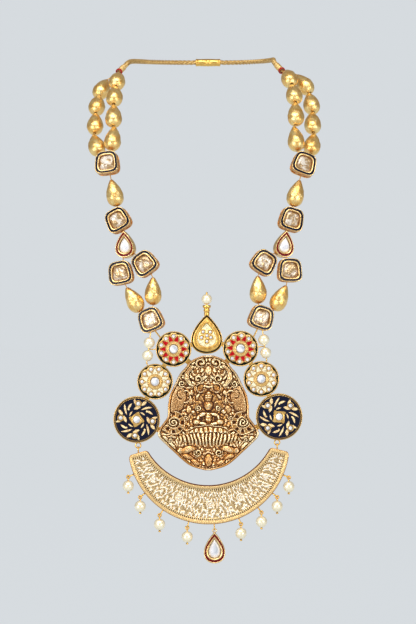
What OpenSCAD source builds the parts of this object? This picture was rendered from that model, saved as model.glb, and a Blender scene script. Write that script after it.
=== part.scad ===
// Layered temple necklace in its worn shape: two strands of gold drop beads and polki
// settings on each side, enamelled discs round a cast temple plate, and a hinged crescent
// with hanging pearls. Millimetres, +Z up, the front faces -Y.
// The origin is at the nape of the neck, on the inner side of the clasp.

/* [Overall] */
// Distance from the nape forward to the middle of the pendant
neck_reach = 117; // [112:1:122]
// Distance from the nape down to the height from which the front is measured
eye_drop = 152; // [148:1:156]
// Distance in front of the pendant from which the front is measured
view_distance = 1100; // [1000:50:1400]

/* [Gold drop beads] */
// Length of a drop bead, as a full teardrop curve before its tip is drilled
bead_l = 16.4; // [16:0.1:16.6]
// Widest diameter of a drop bead
bead_w = 9.4; // [8.8:0.1:9.5]
// Diameter of the hole through a drop bead
bead_bore = 1.6; // [1.4:0.1:1.8]

/* [Square settings] */
// Half width of a cushion shaped setting
square_half = 6.5; // [6.2:0.1:6.6]
// Depth of the settings from front to back
setting_t = 5.4; // [5:0.1:5.8]
// How much narrower a cushion is at its top than at its middle
square_taper = 0.1; // [0.05:0.01:0.14]
// Half width of the polki stone in a square setting
square_stone_half = 4.3; // [4:0.1:4.4]

/* [Teardrop settings] */
// Width of the teardrop settings in the strands
tear_w = 10.6; // [10.2:0.1:11]
// Height of the teardrop settings in the strands
tear_h = 15; // [14.6:0.1:15.2]
// Width of the hanging drop under the crescent
drop_w = 11.8; // [11.4:0.1:12]
// Height of the hanging drop under the crescent
drop_h = 17; // [16.4:0.1:17.4]

/* [Pendant discs] */
// Radius of the red and the cream flower discs
flower_r = 9.8; // [9.6:0.05:9.85]
// Radius of the blue discs
blue_r = 12.8; // [12.6:0.05:12.85]
// Thickness of the discs
disc_t = 3.2; // [3:0.1:3.6]
// Stones, and petals, round a flower disc
flower_count = 10; // [8:1:12]

/* [Temple plate] */
// Thickness of the plate behind its relief
plate_t = 2; // [1.8:0.1:2.2]
// Height of the rim above the recessed ground
plate_rim_h = 1; // [0.8:0.1:1.2]

/* [Crescent] */
// Radius of the outer edge of the crescent
crescent_r = 44.6; // [44:0.1:45]
// Radius of the inner edge of the crescent
crescent_inner_r = 38.5; // [38:0.1:39]
// Thickness of the crescent at its rim
crescent_t = 2.6; // [2.4:0.1:3]

/* [Pearls] */
// Radius of the hanging pearls
pearl_r = 3.15; // [3:0.05:3.2]
// Radius of the pearl wire
pin_r = 0.25; // [0.22:0.01:0.3]

/* [Threads and cord] */
// Diameter of the thread inside the beads
thread_d = 0.6; // [0.5:0.1:0.7]
// Diameter of the twisted back cord
cord_d = 3; // [2.6:0.1:3.4]

/* [Hidden] */

gold = [0.86, 0.68, 0.36];
antique_gold = [0.74, 0.54, 0.3];
stone_white = [0.95, 0.95, 0.97];
pearl_white = [0.97, 0.94, 0.86];
thread_gold = [0.72, 0.58, 0.3];
binding_red = [0.62, 0.12, 0.1];

round_fn = 48;
gap = 0.12;

// Places on the front, in millimetres from the middle of the view: across, up, and how far
// behind the pendant the piece sits. A piece further back is spread by its distance.
function spot(x, z, depth) =
    let (spread = 1 + depth / view_distance)
    [x * spread, depth - neck_reach, z * spread - eye_drop];

function unit(v) = v / norm(v);
function mix(a, b, t) = a * (1 - t) + b * t;
function into(from, to, reach) = from + unit(to - from) * reach;

// Square settings: across, up, depth, turn outward, tilt upward, roll
squares = [
    [[-55.3, 81.8, 10, -15, 14, 6], [-49.4, 50.5, 7, -18, 8, 29], [-47.9, 21.4, 3, -14, 5, 11],
     [-34.7, 26.6, 3, -14, 5, 36], [-31.4, -4.3, 1, -14, 3, 22]],
    [[52.6, 81.2, 10, 15, 14, -20], [45.7, 50.8, 7, 18, 8, -16], [44.8, 22.9, 3, 14, 5, -1],
     [30.6, 27.2, 3, 14, 5, -32], [29.2, -3.1, 1, 14, 3, -19]]
];
// Teardrop settings in the strands, same columns
tears = [[-45.4, 37, 5, -16, 5, 5], [41.8, 37.2, 5, 16, 5, -9]];

// Bead strings, top bead first: across, up, depth
outer_beads = [
    [[-57.9, 123.2, 53.6], [-60.8, 114.3, 42], [-62, 104.1, 31.2], [-61.6, 92.3, 22.4]],
    [[52.4, 125.7, 50.4], [56.6, 115.2, 41], [57.5, 104.6, 30.6], [57.5, 92.8, 21.8]]
];
inner_beads = [
    [[-49.8, 127.7, 46.6], [-51.3, 119.4, 34.4], [-51.9, 108.3, 24.6], [-52.2, 95.8, 16.6]],
    [[44.2, 129.1, 43.6], [47.1, 120.4, 32], [48.2, 109.3, 22], [48.2, 95.7, 16]]
];
// Single beads between settings: across and up of the middle, depth, lean of the tip to the right
link_beads = [[-51.7, 65.9, 8.6, -13], [48.6, 65.7, 8.6, 15]];
fork_outer_beads = [[-41.2, 7.2, 2.5, -30], [39.9, 8.1, 2.5, 26]];
fork_inner_beads = [[-30.2, 11.9, 2.5, 0], [27.5, 12.7, 2.5, -1]];

// Where each strand is bound, and the end of the gold whipping above it
bindings = [[-48.9, 132.1, 58.5], [40.5, 132.8, 54]];
whip_ends = [[-46.4, 134.6, 62.5], [37.7, 135.7, 58]];
function whip_end(side) = spot(whip_ends[side][0], whip_ends[side][1], whip_ends[side][2]);
function binding_at(side) = spot(bindings[side][0], bindings[side][1], bindings[side][2]);
whip_r = 1.8;
binding_r = 2.1;
binding_h = 1.3;
binding_bore_r = 1.4;

// Discs: across, up, radius; the pairs run from the top of the arch down
red_discs = [[-18.9, -20.4], [17.9, -20.1]];
cream_discs = [[-29.1, -38.3], [29.3, -36.8]];
blue_discs = [[-39.2, -59.1], [39.1, -57.6]];
disc_rim_w = 0.45;
disc_line_w = 1.35;
disc_sink = 0.4;
flower_stone_r = 1.05;
flower_centre_r = 2.5;

// Teardrop at the top of the arch, with the finial above it
top_drop = [-0.7, -12];
top_drop_w = 17.4;
top_drop_h = 22;
top_stone_r = 0.95;
top_stones = [[0.1, 1.2], [-2, 3.3], [1.9, 3.2], [-2.9, 0.2], [2.3, 0.2], [0.1, -1.9]];
finial_base = 10.2;
finial_pearl_up = 19;
finial_pearl_r = 3;

// Half width of the temple plate at each distance down from its top
plate_outline = [
    [0, 2.6], [0.8, 5.6], [2, 8.2], [3.7, 10.8], [6.4, 12.4], [9.2, 15.2], [12, 16.8], [16.1, 18.6],
    [18.3, 19.6], [21.8, 21.3], [27.3, 22.2], [33.9, 22.3], [37.2, 24.8], [40, 26.9], [42.7, 28],
    [44.8, 27.4], [46.3, 26.1], [50.4, 21.8], [53.7, 18.2], [56.9, 14.9], [60.3, 10.7], [62.1, 6.4],
    [63.1, 1.6]
];
plate_x = 0.2;
plate_top = -23.9;
plate_h = 63.1;
plate_rim_w = 1.2;
plate_back = -1.4;
plate_rows = 46;
plate_columns = 36;

// Raised forms of the plate: across, down, half width, half height, height of relief, hollow
// centre. A form off the middle line is repeated on the other side.
plate_forms = [
    [3.7, 3.6, 3.5, 2.8, 1.4, 1], [8.8, 4.8, 1.6, 1.6, 1.3, 0], [0, 8, 3.4, 3.2, 1.5, 0],
    [6.8, 8.2, 2.2, 2.2, 1.2, 0], [10.9, 11, 1.9, 3.8, 1.6, 0], [5.8, 12.6, 2.4, 1.8, 1.3, 0],
    [14.2, 15.3, 2.4, 2.2, 1.4, 1], [3.95, 16.9, 2.6, 2.6, 1.7, 1], [8.95, 19.9, 1.5, 1.5, 1.9, 0],
    [16.1, 23.5, 5.6, 7, 2.2, 0], [18.6, 29.4, 2.6, 2.2, 1.5, 0], [5.6, 26.9, 2.2, 2.2, 1.5, 1],
    [0, 27.4, 2.7, 2.9, 2.6, 0], [0, 22.6, 2.1, 3.6, 2.2, 0], [0, 33.4, 3.4, 4.2, 2.4, 0],
    [5.4, 35.6, 3.4, 2.2, 2.2, 0], [6.6, 31.6, 1.8, 3.4, 1.9, 0], [18.4, 36.8, 5.6, 5.4, 1.8, 1],
    [23.5, 39.9, 2.6, 2.6, 1.5, 0], [0, 40.2, 3, 2.2, 2.3, 0], [5.6, 40.2, 3, 2.2, 2.2, 0],
    [10.4, 40.4, 2.2, 2, 2, 0], [0, 46.2, 2.4, 4, 2.1, 0], [4.9, 46.2, 2.4, 4, 2.1, 0],
    [9.8, 46, 2.4, 3.8, 2, 0], [14.6, 45.2, 2.4, 3.6, 1.8, 0], [20.6, 47.6, 3.4, 2.6, 1.5, 1],
    [15.3, 51.7, 2.3, 2.2, 1.5, 0], [10.7, 51.4, 3.6, 2.2, 1.7, 0], [5.8, 53.2, 2.6, 2.6, 1.6, 1],
    [12, 55.7, 3.2, 1.5, 1.4, 0], [8.6, 58.6, 2.6, 1.5, 1.4, 0], [0, 57.6, 2.3, 3.4, 1.9, 0]
];
// Arch over the seated figure: centre down, radius, half width, height, lowest point
arch_down = 24;
arch_r = 9.4;
arch_w = 1.1;
arch_h = 1.6;
arch_foot = 34;

// Hinge line of the crescent: through the wires of the two disc rings
ring_r = 1.45;
ring_wire_r = 0.3;
hinge_left = [-38.4, -74.8];
hinge_right = [38, -73.1];
hinge_mid = (hinge_left + hinge_right) / 2;
hinge_tilt = atan2(hinge_right.y - hinge_left.y, hinge_right.x - hinge_left.x);
hinge_half = norm(hinge_right - hinge_left) / 2;
loop_r = 1.6;
loop_wire_r = 0.3;
loop_sag = loop_r - loop_wire_r - ring_wire_r - gap;

// Crescent, measured from the middle of its hinge line: centres of its two arcs, end corners
crescent_x = 0.6;
crescent_up = 1.9;
crescent_inner_up = 17.2;
crescent_rim_w = 1.8;
crescent_sink = 0.8;
crescent_end_in = [33.8, -1.3];
crescent_end_out = [43.4, -3.9];
crescent_scrolls = 17;
crescent_scroll_r = [2.1, 1.4];
// Offset of the crescent's body in front of the hinge line, so that it hangs upright
crescent_forward = 0.286;

// Directions of the pearl eyelets round the crescent's outer arc, from the right, and the drop's
pearl_angles = [201.5, 217, 234.5, 254.5, 290.5, 306, 320.5, 335.5];
drop_angle = 272.6;
eyelet_r = 1.75;
eyelet_wire_r = 0.27;
pin_eye_r = 0.75;
pin_neck = 0.9;
pearl_bore_r = 0.45;
drop_loop_r = 1;
drop_wire_r = 0.3;

// Closed pear outline, tip up: half width follows sin(t) sin(t/2), height follows cos(t)
pear_peak = 0.77;
function pear(w, h, points) = [for (i = [0 : points - 1])
    let (t = 360 * i / points)
    [w / 2 / pear_peak * sin(t) * abs(sin(t / 2)), h / 2 * cos(t)]];

function power(v, p) = sign(v) * pow(abs(v), p);

// Closed cushion outline: a rounded square that narrows towards its top
cushion_points = 32;
cushion_power = 3.6;
function cushion(half) = [for (i = [0 : cushion_points - 1])
    let (a = 360 * (i + 0.5) / cushion_points,
         x = half * power(cos(a), 2 / cushion_power),
         y = half * power(sin(a), 2 / cushion_power))
    [x * (1 - square_taper * y / half), y]];

function polygon_ring(r, n) = [for (i = [0 : n - 1]) r * [cos(360 * i / n), sin(360 * i / n)]];

// Stands a piece drawn flat, front up, at its place on the necklace
module facing(row) {
    translate(spot(row[0], row[1], row[2]))
        rotate([90, 0, 0])
            rotate([-row[4], row[3], 0])
                rotate([0, 0, row[5]])
                    children();
}

// Stands a piece drawn flat in the plane of the pendant
module on_front(x, z) {
    facing([x, z, 0, 0, 0, 0])
        children();
}

module rod(a, b, r) {
    d = b - a;
    translate(a)
        rotate([0, acos(d.z / norm(d)), atan2(d.y, d.x)])
            cylinder(r = r, h = norm(d), $fn = round_fn);
}

module torus(r, wire_r) {
    rotate_extrude($fn = round_fn)
        translate([r, 0])
            circle(r = wire_r, $fn = 24);
}

// Tube swept along a path, its rings squared to the path, with closed ends
function path_side(path, i, ref) =
    let (n = len(path) - 1, t = path[min(i + 1, n)] - path[max(i - 1, 0)])
    unit(cross(ref, t));
function path_up(path, i, ref) =
    let (n = len(path) - 1, t = path[min(i + 1, n)] - path[max(i - 1, 0)])
    unit(cross(t, path_side(path, i, ref)));

module tube(path, r, sides, ref) {
    last = len(path) - 1;
    points = [for (i = [0 : last], k = [0 : sides - 1])
        let (a = 360 * k / sides)
        path[i] + r * cos(a) * path_side(path, i, ref) + r * sin(a) * path_up(path, i, ref)];
    walls = [for (i = [0 : last - 1], k = [0 : sides - 1], half = [0, 1])
        let (p = i * sides + k, q = i * sides + (k + 1) % sides)
        half == 0 ? [p, p + sides, q] : [q, p + sides, q + sides]];
    first_end = [for (k = [1 : sides - 2]) [0, k, k + 1]];
    end = last * sides;
    last_end = [for (k = [1 : sides - 2]) [end, end + k + 1, end + k]];
    polyhedron(points, concat(walls, first_end, last_end));
}

// Rose cut stone: an upright girdle, a ring of sloping facets and a flat table
module cut_stone(outline, h) {
    n = len(outline);
    girdle_h = h * 0.35;
    table = 0.55;
    points = concat(
        [for (p = outline) [p.x, p.y, 0]],
        [for (p = outline) [p.x, p.y, girdle_h]],
        [for (i = [0 : n - 1])
            let (m = (outline[i] + outline[(i + 1) % n]) / 2 * table)
            [m.x, m.y, h]]
    );
    walls = [for (i = [0 : n - 1]) let (j = (i + 1) % n) [i, n + i, n + j, j]];
    facets = [for (i = [0 : n - 1], half = [0, 1])
        let (j = (i + 1) % n)
        half == 0 ? [n + i, 2 * n + i, n + j] : [n + j, 2 * n + i, 2 * n + j]];
    polyhedron(points, concat(
        [[for (i = [0 : n - 1]) i]], walls, facets, [[for (i = [n - 1 : -1 : 0]) 2 * n + i]]));
}

module round_stone(r, h) {
    cut_stone(polygon_ring(r - gap, 8), h);
}

// Drop beads
// Drilled profile of a drop bead, tip up
bead_steps = 16;
bead_tip_z = bead_l / 2 * cos(31);
bead_foot_z = -bead_l / 2 * 0.991;
bead_profile = let (r = bead_w / 2 / pear_peak)
    concat(
        [[bead_bore / 2, bead_tip_z]],
        [for (i = [0 : bead_steps])
            let (t = 36 + (170 - 36) * i / bead_steps)
            [r * sin(t) * sin(t / 2), bead_l / 2 * cos(t)]],
        [[bead_bore / 2, bead_foot_z]]);
module drop_bead(at, axis) {
    translate(at)
        rotate([0, acos(axis.z), atan2(axis.y, axis.x)])
            rotate_extrude($fn = round_fn)
                polygon(bead_profile);
}

// A strand's beads and ends as points: the binding, four bead centres, the first setting
function strand(side, beads) = concat(
    [binding_at(side)],
    [for (b = beads[side]) spot(b[0], b[1], b[2])],
    [spot(squares[side][0][0], squares[side][0][1], squares[side][0][2])]);
// Each bead lies along the line between its two neighbours; the top one, where the strand
// bends in to its binding, lies nearer to the line of the beads below
function strand_axis(line, i) =
    let (above = unit(line[i - 1] - line[i]), below = unit(line[i] - line[i + 1]))
    unit(mix(above, below, i == 1 ? 0.65 : 0.5));
function bead_tip(at, axis) = at + axis * bead_tip_z;
function bead_foot(at, axis) = at + axis * bead_foot_z;

module bead_string(side, beads) {
    line = strand(side, beads);
    color(gold)
        for (i = [1 : 4]) {
            drop_bead(line[i], strand_axis(line, i));
        }
}

// Axis of a single bead from its lean and the slope of the strand at its place
function lean_axis(row, slope) = unit([sin(row[3]), slope, cos(row[3])]);
link_slope = 0.12;
function single_at(row) = spot(row[0], row[1], row[2]);

module single_bead(row, slope) {
    color(gold)
        drop_bead(single_at(row), lean_axis(row, slope));
}

// Threads
bore_back = [0, 1.2, 0];
thread_reach = 1.5;
thread_lead = 0.8;
square_entry = 5.4;
bore_r = 0.5;
function square_at(side, i) =
    let (s = squares[side][i])
    spot(s[0], s[1], s[2]) + bore_back;
function tear_at(side) =
    let (s = tears[side])
    spot(s[0], s[1], s[2]) + bore_back;

function strand_thread(side, beads) =
    let (line = strand(side, beads),
         axes = [for (i = [1 : 4]) strand_axis(line, i)],
         foot = bead_foot(line[4], axes[3]))
    concat(
        [line[0], into(line[0], whip_end(side), -thread_lead - binding_h / 2)],
        [bead_tip(line[1], axes[0]) + axes[0] * thread_lead],
        [for (i = [1 : 4], k = [0, 1])
            k == 0 ? bead_tip(line[i], axes[i - 1]) : bead_foot(line[i], axes[i - 1])],
        [into(square_at(side, 0), foot, square_entry)]);

function bead_thread(row, slope, above, below) =
    let (at = single_at(row), axis = lean_axis(row, slope),
         tip = bead_tip(at, axis), foot = bead_foot(at, axis))
    [into(above, tip, square_entry), tip, at, foot, into(below, foot, square_entry)];

// A short thread between two settings that touch, about the share of the way where they meet
function link_thread(a, b, share) =
    [into(mix(a, b, share), a, thread_reach), mix(a, b, share), into(mix(a, b, share), b, thread_reach)];

function threads(side) = [
    strand_thread(side, outer_beads),
    strand_thread(side, inner_beads),
    bead_thread(link_beads[side], link_slope, square_at(side, 0), square_at(side, 1)),
    bead_thread(fork_outer_beads[side], 0, square_at(side, 2), square_at(side, 4)),
    bead_thread(fork_inner_beads[side], 0, square_at(side, 3), square_at(side, 4)),
    link_thread(square_at(side, 1), tear_at(side), 0.5),
    link_thread(tear_at(side), square_at(side, 2), 0.52),
    link_thread(tear_at(side), square_at(side, 3), 0.52)
];

module side_threads(side) {
    color(thread_gold)
        for (path = threads(side)) {
            tube(path, thread_d / 2, 6, [1, 0, 0]);
        }
}

// Holes where the threads enter a side's settings
module thread_holes(side) {
    for (path = threads(side)) {
        last = len(path) - 1;
        rod(into(path[0], path[1], -0.3), path[1], bore_r);
        rod(path[last - 1], into(path[last], path[last - 1], -0.3), bore_r);
    }
}

// Settings
enamel_sink = 0.2;
square_rim_w = 0.5;
square_line_w = 0.9;
pocket_depth = 2.2;

module square_setting(row) {
    front = setting_t / 2;
    facing(row)
        difference() {
            linear_extrude(setting_t, center = true)
                polygon(cushion(square_half));
            translate([0, 0, front - enamel_sink])
                difference() {
                    linear_extrude(1)
                        polygon(cushion(square_half - square_rim_w));
                    translate([0, 0, -1])
                        linear_extrude(3)
                            polygon(cushion(square_half - square_rim_w - square_line_w));
                }
            translate([0, 0, front - pocket_depth])
                linear_extrude(pocket_depth + 1)
                    polygon(cushion(square_stone_half + gap));
        }
}

// Holes of the lowest square for the pearl stem and the link wire
module wire_holes(side) {
    low = side_pearls[side][0];
    link = link_wires[side];
    rod(spot(low.x, low.y, 0), into(stem_top(side), spot(low.x, low.y, 0), -0.2), side_wire_r + 0.15);
    rod(spot(link[0].x, link[0].y, 0), into(spot(link[1].x, link[1].y, 0),
        spot(link[0].x, link[0].y, 0), -0.2), link_wire_r + 0.15);
}

module drilled_square(side, i) {
    color(gold)
        difference() {
            square_setting(squares[side][i]);
            thread_holes(side);
            if (i == 4) wire_holes(side);
        }
}

square_stone_h = 2;
square_stone_points = 12;
module square_stone(row) {
    facing(row)
        translate([0, 0, setting_t / 2 - pocket_depth + gap])
            cut_stone([for (i = [0 : square_stone_points - 1])
                let (a = 360 * (i + 0.5) / square_stone_points,
                     x = square_stone_half * power(cos(a), 0.6),
                     y = square_stone_half * power(sin(a), 0.6))
                0.985 * [x * (1 - square_taper * y / square_stone_half), y]], square_stone_h);
}

module square_stones(side) {
    color(stone_white)
        for (row = squares[side]) {
            square_stone(row);
        }
}

// A teardrop setting's outlines are drawn in faster at the tip than across
pear_points = 28;
pear_rim_w = 0.55;
pear_line_w = 0.75;
pear_tip_share = 1.45;
function pear_inset(w, h, inset) =
    pear(w - 2 * inset, h - 2 * pear_tip_share * inset, pear_points);
// How far its stone sits below the middle, as a share of the height
pear_stone_low = 0.02;

// The pocket is the width and height of the stone's seat
module pear_setting(w, h, t, pocket) {
    front = t / 2;
    difference() {
        linear_extrude(t, center = true)
            polygon(pear(w, h, pear_points));
        translate([0, 0, front - enamel_sink])
            difference() {
                linear_extrude(1)
                    polygon(pear_inset(w, h, pear_rim_w));
                translate([0, 0, -1])
                    linear_extrude(3)
                        polygon(pear_inset(w, h, pear_rim_w + pear_line_w));
            }
        translate([0, -h * pear_stone_low, front - pocket_depth])
            linear_extrude(pocket_depth + 1)
                polygon(pear(pocket.x, pocket.y, pear_points));
    }
}

pear_stone_points = 14;
module pear_stone(h, t, pocket) {
    translate([0, -h * pear_stone_low, t / 2 - pocket_depth + gap])
        cut_stone([for (p = pear(pocket.x - 3 * gap, pocket.y - 5 * gap, pear_stone_points))
            [-p.x, p.y]], square_stone_h);
}

tear_pocket = [6.6, 9];

module tear_setting(side) {
    color(gold)
        difference() {
            facing(tears[side])
                pear_setting(tear_w, tear_h, setting_t, tear_pocket);
            thread_holes(side);
        }
}

module tear_stones() {
    color(stone_white)
        for (row = tears) {
            facing(row)
                pear_stone(tear_h, setting_t, tear_pocket);
        }
}

// Pendant frame
// Scalloped face of a flower disc: one lobe round each outer stone
lobe_points = 60;
flower_face_r = flower_r - disc_rim_w - disc_line_w - 0.15;
function flower_face() = [for (i = [0 : lobe_points - 1])
    let (a = 360 * i / lobe_points)
    (flower_face_r + 0.55 * abs(cos(flower_count / 2 * a))) * [cos(a), sin(a)]];
flower_stone_at = 7.1;
petal = [[3.6, -0.95], [5.2, -0.8], [7, 0], [5.2, 0.8], [3.6, 0.95]];
petal_sink = 0.25;

module flower_disc(turn) {
    front = disc_t / 2;
    rotate([0, 0, turn])
        difference() {
            cylinder(r = flower_r, h = disc_t, center = true, $fn = round_fn);
            translate([0, 0, front - disc_sink])
                difference() {
                    cylinder(r = flower_r - disc_rim_w, h = 1, $fn = round_fn);
                    translate([0, 0, -1])
                        linear_extrude(3)
                            polygon(flower_face());
                }
            translate([0, 0, front - 1.4])
                cylinder(r = flower_centre_r, h = 3, $fn = round_fn);
            for (i = [0 : flower_count - 1]) {
                rotate([0, 0, 360 / flower_count * i]) {
                    translate([flower_stone_at, 0, front - 1])
                        cylinder(r = flower_stone_r, h = 3, $fn = round_fn);
                    rotate([0, 0, 180 / flower_count])
                        translate([0, 0, front - petal_sink])
                            linear_extrude(1)
                                polygon(petal);
                }
            }
        }
}

blue_centre_r = 2.1;
blue_stone_r = 1.35;
blue_stone_at = 8.8;
blue_turns = [-6, 45];
blue_field_r = blue_r - disc_rim_w - 0.4;

module blue_disc(turn) {
    front = disc_t / 2;
    rotate([0, 0, turn])
        difference() {
            union() {
                difference() {
                    cylinder(r = blue_r, h = disc_t, center = true, $fn = round_fn);
                    translate([0, 0, front - disc_sink])
                        cylinder(r = blue_field_r, h = 1, $fn = round_fn);
                }
                cylinder(r = blue_centre_r + 0.9, h = front, $fn = round_fn);
                for (i = [0 : 3]) {
                    rotate([0, 0, 90 * i])
                        translate([blue_stone_at, 0, 0])
                            cylinder(r = blue_stone_r + 0.5, h = front, $fn = round_fn);
                }
            }
            translate([0, 0, front - 1])
                cylinder(r = blue_centre_r, h = 3, $fn = round_fn);
            for (i = [0 : 3]) {
                rotate([0, 0, 90 * i])
                    translate([blue_stone_at, 0, front - 1])
                        cylinder(r = blue_stone_r, h = 3, $fn = round_fn);
            }
        }
}

top_drop_t = 3.6;
module top_drop_setting() {
    front = top_drop_t / 2;
    difference() {
        linear_extrude(top_drop_t, center = true)
            polygon(pear(top_drop_w, top_drop_h, 40));
        translate([0, -0.6, front - 0.3])
            linear_extrude(1)
                polygon(pear(top_drop_w - 7, top_drop_h - 9, 32));
        for (s = top_stones) {
            translate([s.x, s.y - 2.2, front - 1])
                cylinder(r = top_stone_r, h = 3, $fn = round_fn);
        }
    }
    rotate([-90, 0, 0])
        rotate_extrude($fn = round_fn)
            polygon([[0, finial_base - 1.4], [1.4, finial_base - 1.4], [1.5, finial_base + 0.9],
                [1.3, finial_base + 1.7], [1.7, finial_base + 2.6], [1.4, finial_base + 3.6],
                [2.2, finial_base + 4.5], [2.2, finial_base + 5.4], [0, finial_base + 5.4]]);
    translate([0, finial_base + 5, 0])
        rotate([-90, 0, 0])
            cylinder(r = 0.35, h = finial_pearl_up - finial_base - 5 + finial_pearl_r + 0.3,
                $fn = round_fn);
    translate([0, finial_pearl_up + finial_pearl_r + 0.4, 0])
        sphere(r = 0.6, $fn = round_fn);
}

// Solder between two neighbours of the arch
solder_r = 1.3;
module solder(a, b, share) {
    p = mix(a, b, share);
    on_front(p.x, p.y)
        translate([0, 0, -1.2])
            cylinder(r = solder_r, h = 1.8, $fn = round_fn);
}

// Flat lug behind the frame on which the plate's back is soldered
lug_gap = 0.1;
module lug(a, toward) {
    d = toward - a;
    on_front(a.x, a.y)
        rotate([0, 0, atan2(d.y, d.x)])
            translate([-1.5, -1.5, plate_back - lug_gap - 1])
                cube([norm(d) + 1.5, 3, 1]);
}

// Soldered wires that carry the side pearls: a stem, with an arm from the red rim between the
// two pearls and a foot on the cream rim
side_pearls = [[[-32.3, -17], [-33.2, -24.1]], [[30.7, -15.3], [31.7, -22.5]]];
side_wire_r = 0.3;
stem_up = 6;

// Ends of the stem and of the link wire inside the lowest square setting
function stem_top(side) =
    let (top = side_pearls[side][0], low = side_pearls[side][1],
         up = unit(top - low) * stem_up)
    spot(top.x + up.x, top.y + up.y, 0);

module pearl_carrier(side) {
    top = side_pearls[side][0];
    low = side_pearls[side][1];
    knot = mix(top, low, 0.5);
    stem = unit(low - top);
    red = red_discs[side];
    cream = cream_discs[side];
    foot = low + stem * (pearl_r + 0.9);
    rod(stem_top(side), spot(foot.x, foot.y, 0), side_wire_r);
    front_rod(knot, knot + unit(red - knot) * (norm(red - knot) - flower_r + 0.5), side_wire_r);
    front_rod(foot, foot + unit(cream - foot) * (norm(cream - foot) - flower_r + 0.5), side_wire_r);
    translate(spot(foot.x, foot.y, 0))
        sphere(r = side_wire_r + 0.15, $fn = round_fn);
}

// A round wire between two places on the front
module front_rod(a, b, r) {
    rod(spot(a.x, a.y, 0), spot(b.x, b.y, 0), r);
}

// Short soldered wires from the red rims up to the lowest square settings
link_wires = [[[-26, -14.3], [-29.4, -10]], [[24.9, -13.9], [27.2, -9.4]]];
link_wire_r = 0.4;

module pendant_frame() {
    color(gold) {
        on_front(top_drop.x, top_drop.y)
            top_drop_setting();
        for (side = [0, 1]) {
            red = red_discs[side];
            cream = cream_discs[side];
            blue = blue_discs[side];
            on_front(red.x, red.y)
                flower_disc(90 - side * 4);
            on_front(cream.x, cream.y)
                flower_disc(side == 0 ? 0 : 18);
            on_front(blue.x, blue.y)
                blue_disc(blue_turns[side]);
            solder(red, [top_drop.x, red.y + 4.5], 0.53);
            solder(red, cream, 0.5);
            solder(cream, blue, flower_r / (flower_r + blue_r));
            lug(blue, [(side == 0 ? -1 : 1) * 24.5, blue.y - 7]);
            lug(red, [(side == 0 ? -1 : 1) * 8.5, red.y - 9]);
            pearl_carrier(side);
            front_rod(link_wires[side][0], link_wires[side][1], link_wire_r);
            ring = side == 0 ? hinge_left : hinge_right;
            on_front(ring.x, ring.y + ring_r)
                torus(ring_r, ring_wire_r);
        }
    }
}

disc_stone_h = 1.05;
module flower_stones(discs, turns) {
    color(stone_white)
        for (side = [0, 1]) {
            on_front(discs[side].x, discs[side].y)
                rotate([0, 0, turns[side]]) {
                    translate([0, 0, disc_t / 2 - 1.4 + gap])
                        cut_stone(polygon_ring(flower_centre_r - gap, 12), 1.8);
                    for (i = [0 : flower_count - 1]) {
                        rotate([0, 0, 360 / flower_count * i])
                            translate([flower_stone_at, 0, disc_t / 2 - 1 + gap])
                                round_stone(flower_stone_r, disc_stone_h);
                    }
                }
        }
}

module red_disc_stones() {
    flower_stones(red_discs, [90, 86]);
}

module cream_disc_stones() {
    flower_stones(cream_discs, [0, 18]);
}

module blue_disc_stones() {
    color(stone_white)
        for (side = [0, 1]) {
            on_front(blue_discs[side].x, blue_discs[side].y)
                rotate([0, 0, blue_turns[side]])
                    translate([0, 0, disc_t / 2 - 1 + gap]) {
                        cut_stone(polygon_ring(blue_centre_r - gap, 12), 1.5);
                        for (i = [0 : 3]) {
                            rotate([0, 0, 90 * i])
                                translate([blue_stone_at, 0, 0])
                                    round_stone(blue_stone_r, disc_stone_h);
                        }
                    }
        }
}

module top_drop_stones() {
    color(stone_white)
        on_front(top_drop.x, top_drop.y)
            for (s = top_stones) {
                translate([s.x, s.y - 2.2, top_drop_t / 2 - 1 + gap])
                    round_stone(top_stone_r, disc_stone_h);
            }
}

// Pearls
module drilled_pearl(at, r, axis) {
    difference() {
        translate(at)
            sphere(r = r, $fn = round_fn);
        rod(at - axis * (r + 1), at + axis * (r + 1), pearl_bore_r + 0.05);
    }
}

module finial_pearl() {
    color(pearl_white)
        drilled_pearl(spot(top_drop.x, top_drop.y + finial_pearl_up, 0), finial_pearl_r - 0.1, [0, 0, 1]);
}

module side_pearl_pair(side) {
    top = side_pearls[side][0];
    low = side_pearls[side][1];
    stem = unit(low - top);
    color(pearl_white)
        for (p = [top, low]) {
            drilled_pearl(spot(p.x, p.y, 0), pearl_r - 0.05, [stem.x, 0, stem.y]);
        }
}

// Temple plate
function smooth(t) = t * t * (3 - 2 * t);
function plate_half(down, i = 0) =
    i >= len(plate_outline) - 2 || down <= plate_outline[i + 1][0]
        ? let (a = plate_outline[i], b = plate_outline[i + 1])
          a[1] + (b[1] - a[1]) * (down - a[0]) / (b[0] - a[0])
        : plate_half(down, i + 1);

// Height of one raised form at a point: a dome, or a ring round a hollow centre
function form_height(form, x, down) =
    let (u = (abs(x) - form[0]) / form[2], v = (down - form[1]) / form[3], q = sqrt(u * u + v * v))
    form[5] == 0
        ? (q >= 1 ? 0 : form[4] * sqrt(1 - q * q))
        : (abs(q - 0.62) >= 0.38 ? 0 : form[4] * sqrt(1 - pow((q - 0.62) / 0.38, 2)));
function arch_height(x, down) =
    let (q = (sqrt(x * x + pow(down - arch_down, 2)) - arch_r) / arch_w)
    abs(q) >= 1 || down > arch_foot ? 0 : arch_h * sqrt(1 - q * q);
function relief(x, down) =
    max(concat([arch_height(x, down)], [for (f = plate_forms) form_height(f, x, down)]));
// The rim stands up where the edge is near, and its slopes close the outer wall
function plate_front(x, down) =
    let (edge = min(plate_half(down) - abs(x), down + 0.6, plate_h - down + 0.6))
    edge <= plate_rim_w ? plate_rim_h : relief(x, down);

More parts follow.
